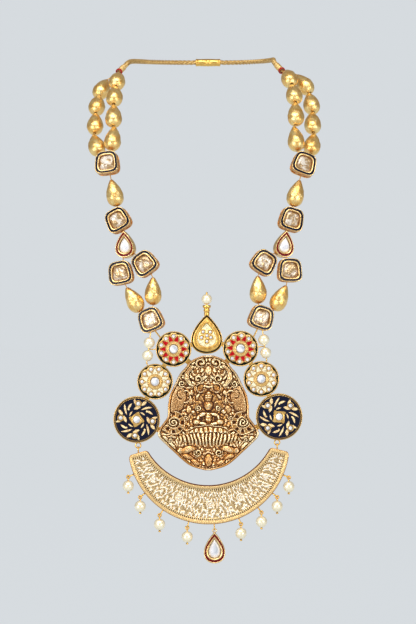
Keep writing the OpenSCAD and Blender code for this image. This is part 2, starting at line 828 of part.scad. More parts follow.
module temple_plate() {
    rows = plate_rows;
    cols = plate_columns;
    width = cols + 1;
    front = [for (j = [0 : rows], i = [0 : cols])
        let (down = plate_h * j / rows,
             half = plate_half(down),
             x = half * sin(90 * (2 * i / cols - 1)))
        [x, -down, plate_back + plate_t + (i == 0 || i == cols || j == 0 || j == rows
            ? plate_rim_h : plate_front(x, down))]];
    back = [for (j = [0 : rows], s = [-1, 1])
        [s * plate_half(plate_h * j / rows), -plate_h * j / rows, plate_back]];
    b = len(front);
    face_front = [for (j = [0 : rows - 1], i = [0 : cols - 1], half = [0, 1])
        let (p = j * width + i)
        half == 0 ? [p, p + 1, p + width] : [p + 1, p + width + 1, p + width]];
    face_back = [for (j = [0 : rows - 1], half = [0, 1])
        let (p = b + 2 * j)
        half == 0 ? [p, p + 2, p + 1] : [p + 1, p + 2, p + 3]];
    face_left = [for (j = [0 : rows - 1], half = [0, 1])
        let (p = j * width, q = b + 2 * j)
        half == 0 ? [p, p + width, q] : [q, p + width, q + 2]];
    face_right = [for (j = [0 : rows - 1], half = [0, 1])
        let (p = j * width + cols, q = b + 2 * j + 1)
        half == 0 ? [p, q, p + width] : [q, q + 2, p + width]];
    face_top = concat([for (i = [0 : cols - 1]) [b, i + 1, i]], [[b, b + 1, cols]]);
    low = rows * width;
    bb = b + 2 * rows;
    face_low = concat([for (i = [0 : cols - 1]) [bb, low + i, low + i + 1]],
        [[bb, low + cols, bb + 1]]);
    color(antique_gold)
        on_front(plate_x, plate_top)
            polyhedron(concat(front, back),
                concat(face_front, face_back, face_left, face_right, face_top, face_low));
}

// Crescent
// Places a piece in the crescent's own frame: middle of the hinge line, turned to its tilt
module on_crescent() {
    on_front(hinge_mid.x, hinge_mid.y)
        rotate([0, 0, hinge_tilt])
            children();
}

// Solid between the two arcs, drawn in by an inset all round
module crescent_slab(inset, h) {
    slope = atan2(crescent_end_out.y - crescent_end_in.y, crescent_end_out.x - crescent_end_in.x);
    difference() {
        translate([crescent_x, crescent_up, 0])
            cylinder(r = crescent_r - inset, h = h, $fn = 96);
        translate([crescent_x, crescent_inner_up, -1])
            cylinder(r = crescent_inner_r + inset, h = h + 2, $fn = 96);
        for (s = [0, 1]) {
            translate([crescent_x, 0, 0])
                mirror([s, 0, 0])
                    translate([crescent_end_in.x, crescent_end_in.y, -1])
                        rotate([0, 0, slope])
                            translate([-60, -inset, 0])
                                cube([100, 70, h + 2]);
        }
    }
}

module crescent() {
    front = crescent_t / 2;
    color(gold)
        on_crescent() {
            translate([0, 0, crescent_forward]) {
                difference() {
                    translate([0, 0, -front])
                        crescent_slab(0, crescent_t);
                    translate([0, 0, front - crescent_sink])
                        crescent_slab(crescent_rim_w, crescent_t);
                }
                crescent_relief(front - crescent_sink - 0.2);
            }
            for (s = [-1, 1]) {
                translate([s * hinge_half, -loop_sag, 0])
                    rotate([0, 90, 0])
                        torus(loop_r, loop_wire_r);
            }
            for (a = concat(pearl_angles, [drop_angle])) {
                eyelet(a);
            }
        }
}

// Raised scrolls of the field: a ring of curls along the middle of the crescent
module crescent_relief(floor_z) {
    for (i = [0 : crescent_scrolls - 1]) {
        a = 270 + (i - (crescent_scrolls - 1) / 2) * 7.3;
        mid = crescent_middle(a);
        r = crescent_scroll_r[abs(i - 8) > 5 ? 1 : 0];
        translate([mid.x, mid.y, floor_z])
            difference() {
                cylinder(r = r, h = 0.7, $fn = 24);
                translate([0, 0, -1])
                    cylinder(r = r - 0.7, h = 3, $fn = 24);
            }
    }
}

// Middle of the field in a direction from the outer arc's centre
function crescent_middle(a) =
    let (d = [cos(a), sin(a)],
         o = [crescent_x, crescent_up],
         up = crescent_inner_up - crescent_up,
         inner = up * d.y + sqrt(pow(crescent_inner_r, 2) - pow(up * d.x, 2)))
    o + d * (crescent_r + inner) / 2;

// Long wire eyelet on the crescent's edge, seen edge on from the front
function eyelet_end(a) =
    [crescent_x, crescent_up] + (crescent_r - 0.15 + 2 * eyelet_r) * [cos(a), sin(a)];
module eyelet(a) {
    mid = [crescent_x, crescent_up] + (crescent_r - 0.15 + eyelet_r) * [cos(a), sin(a)];
    translate([mid.x, mid.y, 0])
        rotate([0, 0, a])
            rotate([90, 0, 0])
                torus(eyelet_r, eyelet_wire_r);
}

// Drawn upright although the crescent is tilted: pins and pearls hang straight down
function hang(a) =
    let (p = eyelet_end(a))
    hinge_mid + [p.x * cos(hinge_tilt) - p.y * sin(hinge_tilt),
        p.x * sin(hinge_tilt) + p.y * cos(hinge_tilt)];
pearl_drop = pin_eye_r + pin_r + pin_neck + pearl_r;

module crescent_pins() {
    color(gold)
        for (a = pearl_angles) {
            p = hang(a);
            on_front(p.x, p.y - 0.1) {
                torus(pin_eye_r, pin_r);
                rotate([90, 0, 0])
                    translate([0, 0, pin_eye_r])
                        cylinder(r = pin_r, h = pearl_drop - pin_eye_r + pearl_r + 0.3, $fn = round_fn);
                translate([0, -pearl_drop - pearl_r - 0.6, 0])
                    sphere(r = 0.5, $fn = round_fn);
            }
        }
}

module crescent_pearls() {
    color(pearl_white)
        for (a = pearl_angles) {
            p = hang(a);
            drilled_pearl(spot(p.x, p.y - 0.1 - pearl_drop, 0), pearl_r, [0, 0, 1]);
        }
}

// Hanging drop
drop_t = 4.2;
drop_pocket = [5.9, 10.4];
module on_drop() {
    p = hang(drop_angle);
    on_front(p.x, p.y - (drop_loop_r - drop_wire_r - eyelet_wire_r - gap))
        children();
}

module drop_setting() {
    color(gold)
        on_drop() {
            torus(drop_loop_r, drop_wire_r);
            translate([0, -drop_loop_r - drop_h / 2 + 0.15, 0])
                pear_setting(drop_w, drop_h, drop_t, drop_pocket);
        }
}

module drop_stone() {
    color(stone_white)
        on_drop()
            translate([0, -drop_loop_r - drop_h / 2 + 0.15, 0])
                pear_stone(drop_h, drop_t, drop_pocket);
}

// Cord and clasp
clasp_r = 2.3;
clasp_l = 15;
clasp_bore_l = 4;
clasp_y = 2.3;

// Half of the back cord on a smooth cubic curve, from the whipping round to the clasp
cord_rings = 14;
cord_lead = 12;
cord_turns = [[-52, clasp_y, 0], [50, clasp_y, 0]];
function bezier(a, b, c, d, t) =
    a * pow(1 - t, 3) + b * 3 * t * pow(1 - t, 2) + c * 3 * t * t * (1 - t) + d * pow(t, 3);
function cord_path(side) =
    let (s = side == 0 ? -1 : 1,
         start = into(whip_end(side), binding_at(side), -3 * gap),
         lead = into(whip_end(side), binding_at(side), -cord_lead),
         mouth = [s * (clasp_l / 2 + 1), clasp_y, 0],
         finish = [s * (clasp_l / 2 - clasp_bore_l + 0.3), clasp_y, 0])
    concat(
        [for (i = [0 : cord_rings]) bezier(start, lead, cord_turns[side], mouth, i / cord_rings)],
        [finish]);

module back_cord(side) {
    color(thread_gold)
        tube(cord_path(side), cord_d / 2, 8, [0, 0, 1]);
}

module clasp() {
    color(gold)
        translate([0, clasp_y, 0])
            rotate([0, 90, 0])
                difference() {
                    cylinder(r = clasp_r, h = clasp_l, center = true, $fn = round_fn);
                    for (s = [-1, 1]) {
                        translate([0, 0, s * (clasp_l - clasp_bore_l + 1) / 2])
                            cylinder(r = cord_d / 2 + 0.3, h = clasp_bore_l + 1, center = true,
                                $fn = round_fn);
                    }
                }
}

module cord_whips() {
    color(thread_gold)
        for (side = [0, 1]) {
            a = binding_at(side);
            b = whip_end(side);
            rod(into(a, b, binding_h / 2 + gap), b, whip_r);
        }
}

module red_bindings() {
    color(binding_red)
        for (side = [0, 1]) {
            a = binding_at(side);
            b = whip_end(side);
            difference() {
                rod(into(a, b, -binding_h / 2), into(a, b, binding_h / 2), binding_r);
                rod(into(a, b, -binding_h), into(a, b, binding_h), binding_bore_r);
            }
        }
}

clasp();
back_cord(0);  // back_cord_left
back_cord(1);  // back_cord_right
cord_whips();
red_bindings();
side_threads(0);  // left_threads
side_threads(1);  // right_threads
bead_string(0, outer_beads);  // left_outer_beads
bead_string(0, inner_beads);  // left_inner_beads
bead_string(1, outer_beads);  // right_outer_beads
bead_string(1, inner_beads);  // right_inner_beads
single_bead(link_beads[0], link_slope);  // left_link_bead
single_bead(fork_outer_beads[0], 0);  // left_fork_outer_bead
single_bead(fork_inner_beads[0], 0);  // left_fork_inner_bead
single_bead(link_beads[1], link_slope);  // right_link_bead
single_bead(fork_outer_beads[1], 0);  // right_fork_outer_bead
single_bead(fork_inner_beads[1], 0);  // right_fork_inner_bead
drilled_square(0, 0);  // left_square_1
drilled_square(0, 1);  // left_square_2
drilled_square(0, 2);  // left_square_3
drilled_square(0, 3);  // left_square_4
drilled_square(0, 4);  // left_square_5
drilled_square(1, 0);  // right_square_1
drilled_square(1, 1);  // right_square_2
drilled_square(1, 2);  // right_square_3
drilled_square(1, 3);  // right_square_4
drilled_square(1, 4);  // right_square_5
square_stones(0);  // left_square_stones
square_stones(1);  // right_square_stones
tear_setting(0);  // left_tear_setting
tear_setting(1);  // right_tear_setting
tear_stones();
pendant_frame();
red_disc_stones();
cream_disc_stones();
blue_disc_stones();
top_drop_stones();
finial_pearl();
side_pearl_pair(0);  // left_side_pearls
side_pearl_pair(1);  // right_side_pearls
temple_plate();
crescent();
crescent_pearls();
crescent_pins();
drop_setting();
drop_stone();
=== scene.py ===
import bpy
import numpy as np
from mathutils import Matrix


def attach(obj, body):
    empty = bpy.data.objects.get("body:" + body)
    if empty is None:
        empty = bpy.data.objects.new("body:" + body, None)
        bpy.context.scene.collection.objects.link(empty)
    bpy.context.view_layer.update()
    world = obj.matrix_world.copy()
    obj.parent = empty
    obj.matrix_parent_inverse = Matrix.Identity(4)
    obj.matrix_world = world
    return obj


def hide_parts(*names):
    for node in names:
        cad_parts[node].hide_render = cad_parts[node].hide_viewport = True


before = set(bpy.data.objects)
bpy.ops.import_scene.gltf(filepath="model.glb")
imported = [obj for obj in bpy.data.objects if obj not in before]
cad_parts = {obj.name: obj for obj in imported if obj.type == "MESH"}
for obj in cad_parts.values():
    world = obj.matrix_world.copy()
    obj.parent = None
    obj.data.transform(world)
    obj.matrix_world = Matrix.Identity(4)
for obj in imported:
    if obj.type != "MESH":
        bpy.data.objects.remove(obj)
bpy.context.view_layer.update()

# The studio. A dark floor that glows in the backdrop's tone, two tall soft boxes either side of
# the camera, which give every drop bead its pair of highlights, and one soft light from above.

def srgb(r, g, b, alpha=1.0):
    """A screen colour, 0 to 255, as linear light: c/12.92 below 0.04045, else a power of 2.4."""
    c = np.array([r, g, b]) / 255
    c = np.where(c <= 0.04045, c / 12.92, ((c + 0.055) / 1.055) ** 2.4)
    return (*[float(v) for v in c], alpha)


class Wire:
    """A value in a material: + - and * on it add the Math nodes that work it out."""

    def __init__(self, finish, socket):
        self.finish, self.socket = finish, socket

    def maths(self, operation, first, second):
        return self.finish.node("Math", {0: first, 1: second}, operation=operation)

    def __add__(self, other):
        return self.maths("ADD", self, other)

    def __sub__(self, other):
        return self.maths("SUBTRACT", self, other)

    def __rsub__(self, other):
        return self.maths("SUBTRACT", other, self)

    def __mul__(self, other):
        return self.maths("MULTIPLY", self, other)

    __radd__, __rmul__ = __add__, __mul__


class Finish:
    """A material with one Principled shader, the nodes that feed it and its slot's name."""

    def __init__(self, name, slot=None, **settings):
        self.material, self.slot = bpy.data.materials.new(name), slot
        self.material.use_nodes = True
        self.tree = self.material.node_tree
        self.shader = self.tree.nodes["Principled BSDF"]
        for socket, value in settings.items():
            self.feed(socket.replace("_", " "), value)

    def node(self, kind, inputs, out=0, **settings):
        made = self.tree.nodes.new("ShaderNode" + kind)
        for key, value in settings.items():
            setattr(made, key, value)
        for key, value in inputs.items():
            if isinstance(value, Wire):
                self.tree.links.new(value.socket, made.inputs[key])
            else:
                made.inputs[key].default_value = value
        return Wire(self, made.outputs[out])

    def feed(self, socket, value):
        if isinstance(value, Wire):
            self.tree.links.new(value.socket, self.shader.inputs[socket])
        else:
            self.shader.inputs[socket].default_value = value

    def place(self):
        return self.node("TexCoord", {}, out="Object")

    def value(self, name):
        return self.node("Attribute", {}, out="Fac", attribute_name=name)

    def noise(self, scale, detail=3.0, vector=None):
        return self.node("TexNoise", {"Vector": vector or self.place(), "Scale": scale,
                                      "Detail": detail, "Roughness": 0.6})

    def step(self, value, low, high):
        return self.node("MapRange", {"Value": value, "From Min": low, "From Max": high},
                         interpolation_type="SMOOTHSTEP")

    def mix(self, share, *colours):
        """A share of the second colour in the first; three plain numbers are a screen colour."""
        first, second = [c if isinstance(c, Wire) else srgb(*c) for c in colours]
        return self.node("Mix", {0: share, 6: first, 7: second}, out=2, data_type="RGBA")

    def bump(self, height, distance, strength=1.0):
        self.feed("Normal", self.node("Bump", {"Height": height, "Distance": distance,
                                               "Strength": strength}))


def added(name, data):
    """A new object of these data in the scene."""
    made = bpy.data.objects.new(name, data)
    bpy.context.collection.objects.link(made)
    return made


def soft_box(name, place, aim, width, height, watts):
    """A rectangle of warm white light at a place in metres, turned to look at its aim."""
    light = bpy.data.lights.new(name, "AREA")
    light.shape, light.size, light.size_y = "RECTANGLE", width, height
    light.energy, light.color = watts, (1.0, 0.985, 0.96)
    lamp = added(name, light)
    lamp.location = place
    away = np.array(aim) - np.array(place)
    lamp.rotation_euler = (np.arctan2(np.hypot(away[0], away[1]), -away[2]), 0,
                           np.arctan2(-away[0], away[1]))


backdrop_tone = srgb(214, 219, 223)
bpy.context.scene.view_settings.view_transform = "Standard"

camera = added("camera", bpy.data.cameras.new("camera"))
camera.location = (0, -1.217, -0.152)
camera.rotation_euler = (np.pi / 2, 0, 0)
camera.data.lens, camera.data.clip_start, camera.data.clip_end = 115.4, 0.05, 50
bpy.context.scene.camera = camera

soft_box("left_box", (-0.8, -1.1, -0.25), (0, -0.1, -0.14), 0.4, 0.7, 8.5)
soft_box("right_box", (0.8, -1.1, -0.25), (0, -0.1, -0.14), 0.4, 0.7, 6.5)
soft_box("top_box", (-0.1, -0.8, 0.75), (0, -0.1, -0.12), 1.3, 0.6, 11)

world = bpy.data.worlds.new("studio")
bpy.context.scene.world = world
world.use_nodes = True
nodes, links = world.node_tree.nodes, world.node_tree.links
seen = nodes.new("ShaderNodeBackground")
seen.inputs["Color"].default_value = backdrop_tone
room = nodes["Background"]
room.inputs["Color"].default_value = srgb(196, 190, 182)
room.inputs["Strength"].default_value = 0.62
camera_ray = nodes.new("ShaderNodeLightPath")
either = nodes.new("ShaderNodeMixShader")
links.new(camera_ray.outputs["Is Camera Ray"], either.inputs[0])
links.new(room.outputs[0], either.inputs[1])
links.new(seen.outputs[0], either.inputs[2])
links.new(either.outputs[0], nodes["World Output"].inputs["Surface"])

floor_half, floor_level = 9, -0.34
floor_mesh = bpy.data.meshes.new("floor")
floor_mesh.from_pydata([(x * floor_half, y * floor_half, floor_level)
                        for x, y in ((-1, -1), (1, -1), (1, 1), (-1, 1))], [], [(0, 1, 2, 3)])
floor_mesh.materials.append(Finish(
    "pale_floor", Base_Color=srgb(40, 41, 42), Roughness=1.0, Specular_IOR_Level=0.0,
    Emission_Color=backdrop_tone, Emission_Strength=0.985).material)
added("floor", floor_mesh)


# The clasp and the back cord. The cord is three strands of gold thread laid up by hand; it runs
# from the whipping of each pair of bead strings round the neck into a plain barrel clasp, and is
# glued into the barrel's ends.

pendant_front, pendant_middle, camera_away = 117.0, 152.0, 1100


def spot(across, up, depth=0.0):
    """A place on the front in mm; a piece that lies further back is spread by its distance."""
    spread = 1 + depth / camera_away
    return np.array([across * spread, depth - pendant_front, up * spread - pendant_middle])


def unit(v):
    return v / np.linalg.norm(v)


def full_turn(count):
    """Evenly spaced angles once round."""
    return 2 * np.pi * np.arange(count) / count


def ray(angle):
    """The way at an angle, as (cos, sin)."""
    return np.stack([np.cos(angle), np.sin(angle)], axis=-1)


def skin(rings, round_trip=False):
    """Four-sided faces between neighbouring rings of points; the two end rings get a face each,
    or with round_trip the last ring joins the first."""
    m, n = rings.shape[:2]
    index = np.arange(m * n).reshape(m, n)
    low = index if round_trip else index[:-1]
    high = np.roll(index, -1, axis=0) if round_trip else index[1:]
    quads = np.stack([low, np.roll(low, -1, axis=1), np.roll(high, -1, axis=1), high], axis=-1)
    ends = [] if round_trip else [index[0, ::-1][None], index[-1][None]]
    return [quads.reshape(-1, 4)] + ends


class Piece:
    """One piece in the making: parts gathered in mm, with their named values, then put. It takes
    the place of the CAD node of its own name, or of the one named by instead."""

    def __init__(self, name, finish, body="root", instead=None):
        self.name, self.finish, self.body, self.instead = name, finish, body, instead or name
        self.parts, self.count = [], 0

    def add(self, points, faces, **values):
        points = np.asarray(points, float).reshape(-1, 3)
        self.parts.append((points, [np.asarray(f) + self.count for f in faces], values))
        self.count += len(points)

    def wrap(self, rings, round_trip=False, **values):
        """Add rings of points with their skin; each value fits the rings' rows and columns."""
        values = {name: np.broadcast_to(value, rings.shape[:2]) for name, value in values.items()}
        self.add(rings, skin(rings, round_trip), **values)

    def put(self, smooth=True, angle=None):
        points = np.concatenate([p for p, f, v in self.parts]) / 1000
        faces = [f for p, fs, v in self.parts for f in fs]
        corners = np.concatenate([f.ravel() for f in faces]).astype(np.int32)
        sides = np.concatenate([np.full(len(f), f.shape[1]) for f in faces])
        mesh = bpy.data.meshes.new(self.name)
        mesh.vertices.add(len(points))
        mesh.vertices.foreach_set("co", points.astype(np.float32).ravel())
        mesh.loops.add(len(corners))
        mesh.loops.foreach_set("vertex_index", corners)
        mesh.polygons.add(len(sides))
        mesh.polygons.foreach_set("loop_start", (np.cumsum(sides) - sides).astype(np.int32))
        mesh.update(calc_edges=True)
        mesh.validate()
        mesh.polygons.foreach_set("use_smooth", np.full(len(mesh.polygons), smooth))
        for name in sorted({name for p, f, v in self.parts for name in v}):
            column = np.concatenate([np.broadcast_to(np.ravel(v.get(name, 0.0)), len(p))
                                     for p, f, v in self.parts])
            mesh.attributes.new(name, "FLOAT", "POINT").data.foreach_set(
                "value", column.astype(np.float32))
        if angle is not None:
            mesh.set_sharp_from_angle(angle=np.radians(angle))
        mesh.materials.append(self.finish.material)
        made = added(self.name, mesh)
        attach(made, self.body)
        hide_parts(self.instead)


def strand(path, radius, sides, twist, offset, phase):
    """Rings of a round rod that winds round a path as a helix: centre = path + offset *
    (cos a, sin a) across it, with a growing evenly from its phase by twist turns."""
    tangent = np.gradient(path, axis=0)
    tangent /= np.linalg.norm(tangent, axis=1)[:, None]
    side = np.cross(tangent, (0.0, 0.0, 1.0))
    side /= np.linalg.norm(side, axis=1)[:, None]
    over = np.cross(side, tangent)
    turn = phase + 2 * np.pi * twist * np.linspace(0, 1, len(path))
    middle = path + offset * (np.cos(turn)[:, None] * side + np.sin(turn)[:, None] * over)
    a = full_turn(sides)[None, :, None]
    return middle[:, None] + radius * (np.cos(a) * over[:, None] + np.sin(a) * side[:, None])


def bezier(points, steps):
    """The cubic curve through the first and last of four points, pulled towards the two between."""
    a, b, c, d = [np.asarray(p, float) for p in points]
    t = np.linspace(0, 1, steps)[:, None]
    return a * (1 - t) ** 3 + 3 * b * t * (1 - t) ** 2 + 3 * c * t ** 2 * (1 - t) + d * t ** 3


def around(profile, at, axis, sides, ripple=None):
    """Rings of a turned form: a profile of (radius, height) spun round an axis through a place."""
    profile = np.asarray(profile, float)
    axis = unit(np.asarray(axis, float))
    side = unit(np.cross(axis, (0.3, 1.0, 0.2)))
    over = np.cross(axis, side)
    a = full_turn(sides)
    radius = np.repeat(profile[:, :1], sides, axis=1)
    if ripple is not None:
        radius = radius + ripple(a[None, :], profile[:, 1:])
    ring = np.cos(a)[:, None] * side + np.sin(a)[:, None] * over
    return np.asarray(at, float) + radius[..., None] * ring + profile[:, 1][:, None, None] * axis


cord_thread = Finish("twisted_gold_cord", "gold_cord", Metallic=0.55, Roughness=0.42)
lay = cord_thread.noise(1800.0, 2.0)
cord_thread.feed("Base Color", cord_thread.mix(cord_thread.step(lay, 0.3, 0.7), (150, 105, 50),
                                               (232, 200, 130)))
cord_thread.bump(lay, 0.0002, 0.7)

bindings = [spot(-48.9, 132.1, 58.5), spot(40.5, 132.8, 54)]
whip_ends = [spot(-46.4, 134.6, 62.5), spot(37.7, 135.7, 58)]
for side, name in enumerate(["back_cord_left", "back_cord_right"]):
    sign = 2 * side - 1
    out = unit(whip_ends[side] - bindings[side])
    route = bezier([whip_ends[side] + out * 0.4, whip_ends[side] + out * 12,
                    (51 * sign + (side == 0) * -1, 2.3, 0), (8.5 * sign, 2.3, 0)], 220)
    route = np.concatenate([route, [[3.9 * sign, 2.3, 0]]])
    cord = Piece(name, cord_thread)
    for phase in full_turn(3):
        cord.wrap(strand(route, 0.78, 9, 15, 0.7, phase))
    cord.put()

plain_gold = Finish("plain_gold", "plain_gold", Metallic=1.0)
worn = plain_gold.noise(900.0, 4.0)
plain_gold.feed("Base Color", plain_gold.mix(worn, (228, 174, 80), (252, 214, 124)))
plain_gold.feed("Roughness", worn * 0.25 + 0.16)
plain_gold.bump(plain_gold.noise(2600.0), 0.00005, 0.3)

barrel = [(1.75, -3.5), (1.75, -7.4), (1.9, -7.5), (2.2, -7.4), (2.3, -7.1), (2.2, -6.8),
          (2.05, -6.6), (2.25, -6.3), (2.25, -5.9), (2.05, -5.6), (2.12, -5.2), (2.25, -1.2),
          (2.1, -0.9), (2.3, -0.5), (2.3, 0.5), (2.1, 0.9), (2.25, 1.2), (2.12, 5.2),
          (2.05, 5.6), (2.25, 5.9), (2.25, 6.3), (2.05, 6.6), (2.2, 6.8), (2.3, 7.1),
          (2.2, 7.4), (1.9, 7.5), (1.75, 7.4), (1.75, 3.5)]
clasp = Piece("clasp", plain_gold)
clasp.wrap(around(barrel, (0, 2.3, 0), (1, 0, 0), 48))
clasp.put(angle=40)


# The whipping and the binding. Gold thread is wound over the gathered strings, and red thread is
# knotted round below it.

def thread(name, slot, dark, light, scale=1500.0, strength=0.5, **settings):
    """Thread in two tones of a fine noise, which also raises its fibres by 0.1 mm."""
    made = Finish(name, slot, **settings)
    fuzz = made.noise(scale)
    made.feed("Base Color", made.mix(fuzz, dark, light))
    if strength:
        made.bump(fuzz, 0.0001, strength)
    return made


whips = Piece("cord_whips", thread("wound_gold_thread", "gold_cord", (190, 140, 64),
                                   (250, 224, 160), Metallic=0.7, Roughness=0.38))
knots = Piece("red_bindings", thread("red_thread", "red_thread", (120, 10, 8), (190, 30, 20),
                                     strength=0.6, Roughness=0.75))
for side in (0, 1):
    axis = unit(whip_ends[side] - bindings[side])
    length = np.linalg.norm(whip_ends[side] - bindings[side])
    z = np.linspace(0.8, length, 90)
    wound = 1.66 + 0.13 * np.abs(np.sin(np.pi * z / 0.62)) - 0.25 * (z > length - 0.1)
    whips.wrap(around(np.stack([wound, z], axis=1), bindings[side], axis, 40))
    for level in (-0.42, 0.0, 0.42):
        loop = ray(full_turn(40)[::3]) * [0.26, 0.24] + [1.75, level]
        knots.wrap(around(loop, bindings[side], axis, 48), round_trip=True)
whips.put()
knots.put()


# The drop beads. Each is a thin gold shell pressed as a teardrop, tip up, brushed lengthways and
# a little dented by hand; a thread runs through it from tip to foot.

bead_length, bead_width, bore = 16.4, 9.45, 0.8
tear_peak = 0.77  # the greatest value of sin t sin(t/2)
outer_places = [[(-57.9, 123.2, 53.6), (-60.8, 114.3, 42), (-62, 104.1, 31.2),
                 (-61.6, 92.3, 22.4)],
                [(52.4, 125.7, 50.4), (56.6, 115.2, 41), (57.5, 104.6, 30.6), (57.5, 92.8, 21.8)]]
inner_places = [[(-49.8, 127.7, 46.6), (-51.3, 119.4, 34.4), (-51.9, 108.3, 24.6),
                 (-52.2, 95.8, 16.6)],
                [(44.2, 129.1, 43.6), (47.1, 120.4, 32), (48.2, 109.3, 22), (48.2, 95.7, 16)]]
single_places = {
    "left_link_bead": (-51.7, 65.9, 8.6, -13, 0.12),
    "right_link_bead": (48.6, 65.7, 8.6, 15, 0.12),
    "left_fork_outer_bead": (-41.2, 7.2, 2.5, -30, 0.0),
    "right_fork_outer_bead": (39.9, 8.1, 2.5, 26, 0.0),
    "left_fork_inner_bead": (-30.2, 11.9, 2.5, 0, 0.0),
    "right_fork_inner_bead": (27.5, 12.7, 2.5, -1, 0.0)}
first_squares = [spot(-55.3, 81.8, 10), spot(52.6, 81.2, 10)]

brushed_gold = Finish("brushed_gold_bead", "brushed_gold", Metallic=0.94)
lie = brushed_gold.node("CombineXYZ", {0: brushed_gold.value("round_x"),
                                       1: brushed_gold.value("round_y"),
                                       2: brushed_gold.value("lengthways")})
strokes = brushed_gold.noise(11.0, 5.0, lie)
patches = brushed_gold.noise(300.0, 3.0)
brushed_gold.feed("Base Color", brushed_gold.mix(
    brushed_gold.step(strokes * 0.6 + patches * 0.5, 0.35, 0.75),
    (234, 172, 76), (255, 236, 170)))
brushed_gold.feed("Roughness", strokes * 0.14 + 0.25)
brushed_gold.bump(strokes * 0.5 + patches * 0.3, 0.0006, 0.35)


def drop_bead(piece, at, axis, seed):
    """A drilled teardrop: radius = w/2/peak sin t sin(t/2), height = L/2 cos t, for t from the
    tip's mouth to the foot's, with shallow dents of a few waves round and along it."""
    t = np.radians(np.linspace(172, 31, 50))
    r = bead_width / 2 / tear_peak * np.sin(t) * np.sin(t / 2)
    z = bead_length / 2 * np.cos(t)
    wall = np.linspace(z[-1] - 0.25, z[0] + 0.25, 6)
    profile = np.column_stack([np.append(r, np.full(len(wall), bore)), np.append(z, wall)])
    chance = np.random.default_rng(seed)
    p = chance.uniform(0, 2 * np.pi, 6)
    body = np.sin(np.clip((profile[:, 1:] - z[0]) / (z[-1] - z[0]), 0, 1) * np.pi)
    body = body * (np.arange(len(profile)) < len(t))[:, None]

    def dents(a, h):
        waves = (np.sin(3 * a + p[0] + 0.35 * h) + np.sin(5 * a + p[1] - 0.5 * h)
                 + np.sin(2 * a + p[2] + 0.8 * h) * np.sin(0.9 * h + p[3])
                 + 0.8 * np.sin(7 * a + p[4] + 0.9 * h) * np.sin(1.7 * h + p[5])
                 - 1.6 * np.abs(np.sin(2 * a + p[5] + 1.1 * np.sin(0.9 * h + p[4]))))
        return body * (waves * 0.065 + 0.03)

    a = full_turn(52)
    piece.wrap(around(profile, at, axis, len(a), dents), round_trip=True,
               round_x=np.cos(a) * 1.1 + seed, round_y=np.sin(a) * 1.1,
               lengthways=profile[:, 1:] * 0.035)


for side, name in enumerate(["left", "right"]):
    for group, places in (("outer", outer_places[side]), ("inner", inner_places[side])):
        line = [bindings[side]] + [spot(*p) for p in places] + [first_squares[side]]
        string = Piece(f"{name}_{group}_beads", brushed_gold)
        for i in range(1, 5):
            below = 0.65 if i == 1 else 0.5
            axis = unit((1 - below) * unit(line[i - 1] - line[i])
                        + below * unit(line[i] - line[i + 1]))
            drop_bead(string, line[i], axis, 10 * side + i + 4 * (group == "inner"))
        string.put()
for seed, (name, (x, z, depth, lean, slope)) in enumerate(single_places.items()):
    single = Piece(name, brushed_gold)
    axis = unit(np.array([np.sin(np.radians(lean)), slope, np.cos(np.radians(lean))]))
    drop_bead(single, spot(x, z, depth), axis, 40 + seed)
    single.put()

bead_thread = thread("bead_thread", "bead_thread", (196, 140, 62), (240, 196, 110), 2500.0, 0,
                     Roughness=0.5, Metallic=0.5)
for name in ("left_threads", "right_threads"):
    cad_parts[name].data.materials.clear()
    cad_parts[name].data.materials.append(bead_thread.material)


# The square settings. Each is a cushion shaped gold box with a pierced gallery round its wall, a
# rim with a line of navy enamel and a bezel burnished over a foiled flat stone.

square_places = {
    "left": [(-55.3, 81.8, 10, -15, 14, 6), (-49.4, 50.5, 7, -18, 8, 29),
             (-47.9, 21.4, 3, -14, 5, 11), (-34.7, 26.6, 3, -14, 5, 36),
             (-31.4, -4.3, 1, -14, 3, 22)],
    "right": [(52.6, 81.2, 10, 15, 14, -20), (45.7, 50.8, 7, 18, 8, -16),
              (44.8, 22.9, 3, 14, 5, -1), (30.6, 27.2, 3, 14, 5, -32),
              (29.2, -3.1, 1, 14, 3, -19)]}


def facing(points, row):
    """Points drawn flat, front up: rolled, tilted up, turned out and stood at their place."""
    x, z, depth, yaw, pitch, roll = row
    a, b, c = np.radians([yaw, -pitch, roll])
    roll_m = np.array([[np.cos(c), -np.sin(c), 0], [np.sin(c), np.cos(c), 0], [0, 0, 1]])
    tilt_m = np.array([[1, 0, 0], [0, np.cos(b), -np.sin(b)], [0, np.sin(b), np.cos(b)]])
    turn_m = np.array([[np.cos(a), 0, np.sin(a)], [0, 1, 0], [-np.sin(a), 0, np.cos(a)]])
    stand_m = np.array([[1, 0, 0], [0, 0, -1], [0, 1, 0]])
    return points @ (stand_m @ turn_m @ tilt_m @ roll_m).T + spot(x, z, depth)


def power(v, p):
    return np.sign(v) * np.abs(v) ** p


def cushion(points):
    """A rounded square of half width 1 that narrows towards its top, |x|^3.6 + |y|^3.6 = 1."""
    a = full_turn(points) + np.pi / points
    x, y = power(np.cos(a), 2 / 3.6), power(np.sin(a), 2 / 3.6)
    return np.stack([x * (1 - 0.1 * y), y], axis=1)


def pear(width, height, points):
    """A teardrop, tip up: across = w/2/peak sin t sin(t/2), up = h/2 cos t, counterclockwise."""
    t = -full_turn(points)
    return np.stack([width / 2 / tear_peak * np.sin(t) * np.abs(np.sin(t / 2)),
                     height / 2 * np.cos(t)], axis=1)


def share_round(loop):
    """How far round a closed outline each of its points lies, from 0 to 1 by length."""
    gap = np.linalg.norm(loop - np.roll(loop, 1, axis=0), axis=1)
    return np.cumsum(gap) / gap.sum()


def smooth(value, low, high):
    """0 below low, 1 above high, 3t^2 - 2t^3 between."""
    t = np.clip((value - low) / (high - low), 0, 1)
    return t * t * (3 - 2 * t)


